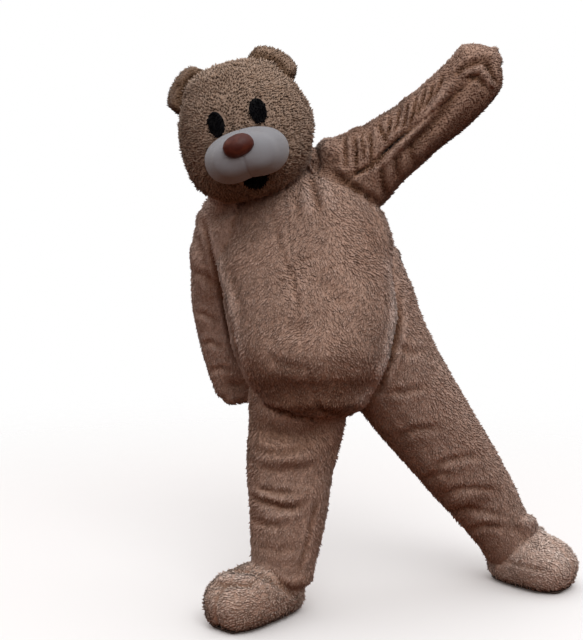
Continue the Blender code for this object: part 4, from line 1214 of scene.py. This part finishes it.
def makeEars():
    middle = np.array(limbs["head"][0]) - (0, 0, neckHeight)
    for side, seed in (("left", 61), ("right", 63)):
        names = [f"ear_{side}_front", f"ear_{side}_back"]
        bm, seam = makePad(names, pads["ear"])
        points, normals = pointsOf(bm), normalsOf(bm)
        low = np.exp(-((gapToNodes(points, list(headPanels), 0.08) / 0.022) ** 2))
        inward = (middle - points) / np.linalg.norm(middle - points, axis=1)[:, None]
        points += earFront * np.maximum(-normals[:, 1:2], 0) * (np.array((0.0, -1.0, 0.0)) + 0.45 * inward)
        moveTo(bm, points + inward * (earRoot * low)[:, None])
        bmesh.ops.translate(bm, verts=bm.verts, vec=earShift[side])
        points, normals = pointsOf(bm), normalsOf(bm)
        way = points - middle
        way -= normals * (way * normals).sum(axis=1)[:, None]
        way /= np.maximum(np.linalg.norm(way, axis=1), 1e-6)[:, None]
        # painted shade on the ear at its seam and where it meets the head
        near = np.exp(-((gapToNodes(points, list(headPanels), 0.08) / 0.016) ** 2))
        fields = {"nap": way, "upright": normals, "fold": -0.5 * seam - 0.8 * near, "trim": 1 - 0.35 * seam}
        addFields(bm, {**fields, "cover": np.ones(len(points))})
        ear = linked("ear_" + side, bm)
        ear.data.shade_smooth()
        growPile("pile_ear_" + side, ear, "ear", "headPlush", "head_plush", seed)
        dressed(ear, "headBase", "head_plush", *names)
    print("ears made")


noseTilt = math.radians(12)


def makeMuzzle():
    names = ["muzzle_left", "muzzle_right"]
    bm, seam = makePad(names, pads["muzzle"])
    bmesh.ops.translate(bm, verts=bm.verts, vec=faceShift["muzzle"])
    muzzle = linked("muzzle", bm)
    muzzle.data.shade_smooth()
    dressed(muzzle, "muzzleJersey", "muzzle_cloth", *names)
    bm, _ = makePad(["nose"], pads["nose"])
    centre = sum((vert.co for vert in bm.verts), Vector()) / len(bm.verts)
    away = Matrix.Translation(-centre)
    bmesh.ops.rotate(bm, verts=bm.verts, cent=centre, matrix=Matrix.Rotation(-noseTilt, 3, "Y"))
    bmesh.ops.scale(bm, verts=bm.verts, vec=(1.07, 1.0, 0.98), space=away)
    bmesh.ops.translate(bm, verts=bm.verts, vec=faceShift["nose"])
    nose = linked("nose_cover", bm)
    nose.data.shade_smooth()
    dressed(nose, "noseVinyl", "nose_vinyl", "nose")
    print("muzzle made")


def makeFelts():
    middle = np.array(limbs["head"][0]) - (0, 0, neckHeight)
    for name, seed in (("eye_left", 71), ("eye_right", 73), ("mouth", 75)):
        bm, _ = makePad([name], pads["felt"])
        bmesh.ops.translate(bm, verts=bm.verts, vec=faceShift[name])
        points, normals = pointsOf(bm), normalsOf(bm)
        out = (points - middle) / np.linalg.norm(points - middle, axis=1)[:, None]
        facing = (out * normals).sum(axis=1)
        way = np.tile((0.0, 0.0, -1.0), (len(points), 1))
        fields = {"nap": way, "upright": normals, "trim": np.ones(len(points)), "cover": (facing > 0.1) * 1.0}
        addFields(bm, fields)
        felt = linked("felt_" + name, bm)
        felt.data.shade_smooth()
        growPile("pile_" + name, felt, "felt", "blackPlush", "black_felt", seed)
        dressed(felt, "blackFelt", "black_felt", name)
    print("eyes and mouth made")


def makeSoles():
    for side in ("left", "right"):
        bm, _ = makePad([f"{side}_sole"], pads["sole"])
        sole = linked("sole_" + side, bm)
        sole.data.shade_smooth()
        dressed(sole, "soleCanvas", "sole_cloth", f"{side}_sole")
    print("soles made")


makeCamera()
makeFloor()
makeSky()
makeLights()
makeSuit()
makeHead()
makeEars()
makeMuzzle()
makeFelts()
makeSoles()
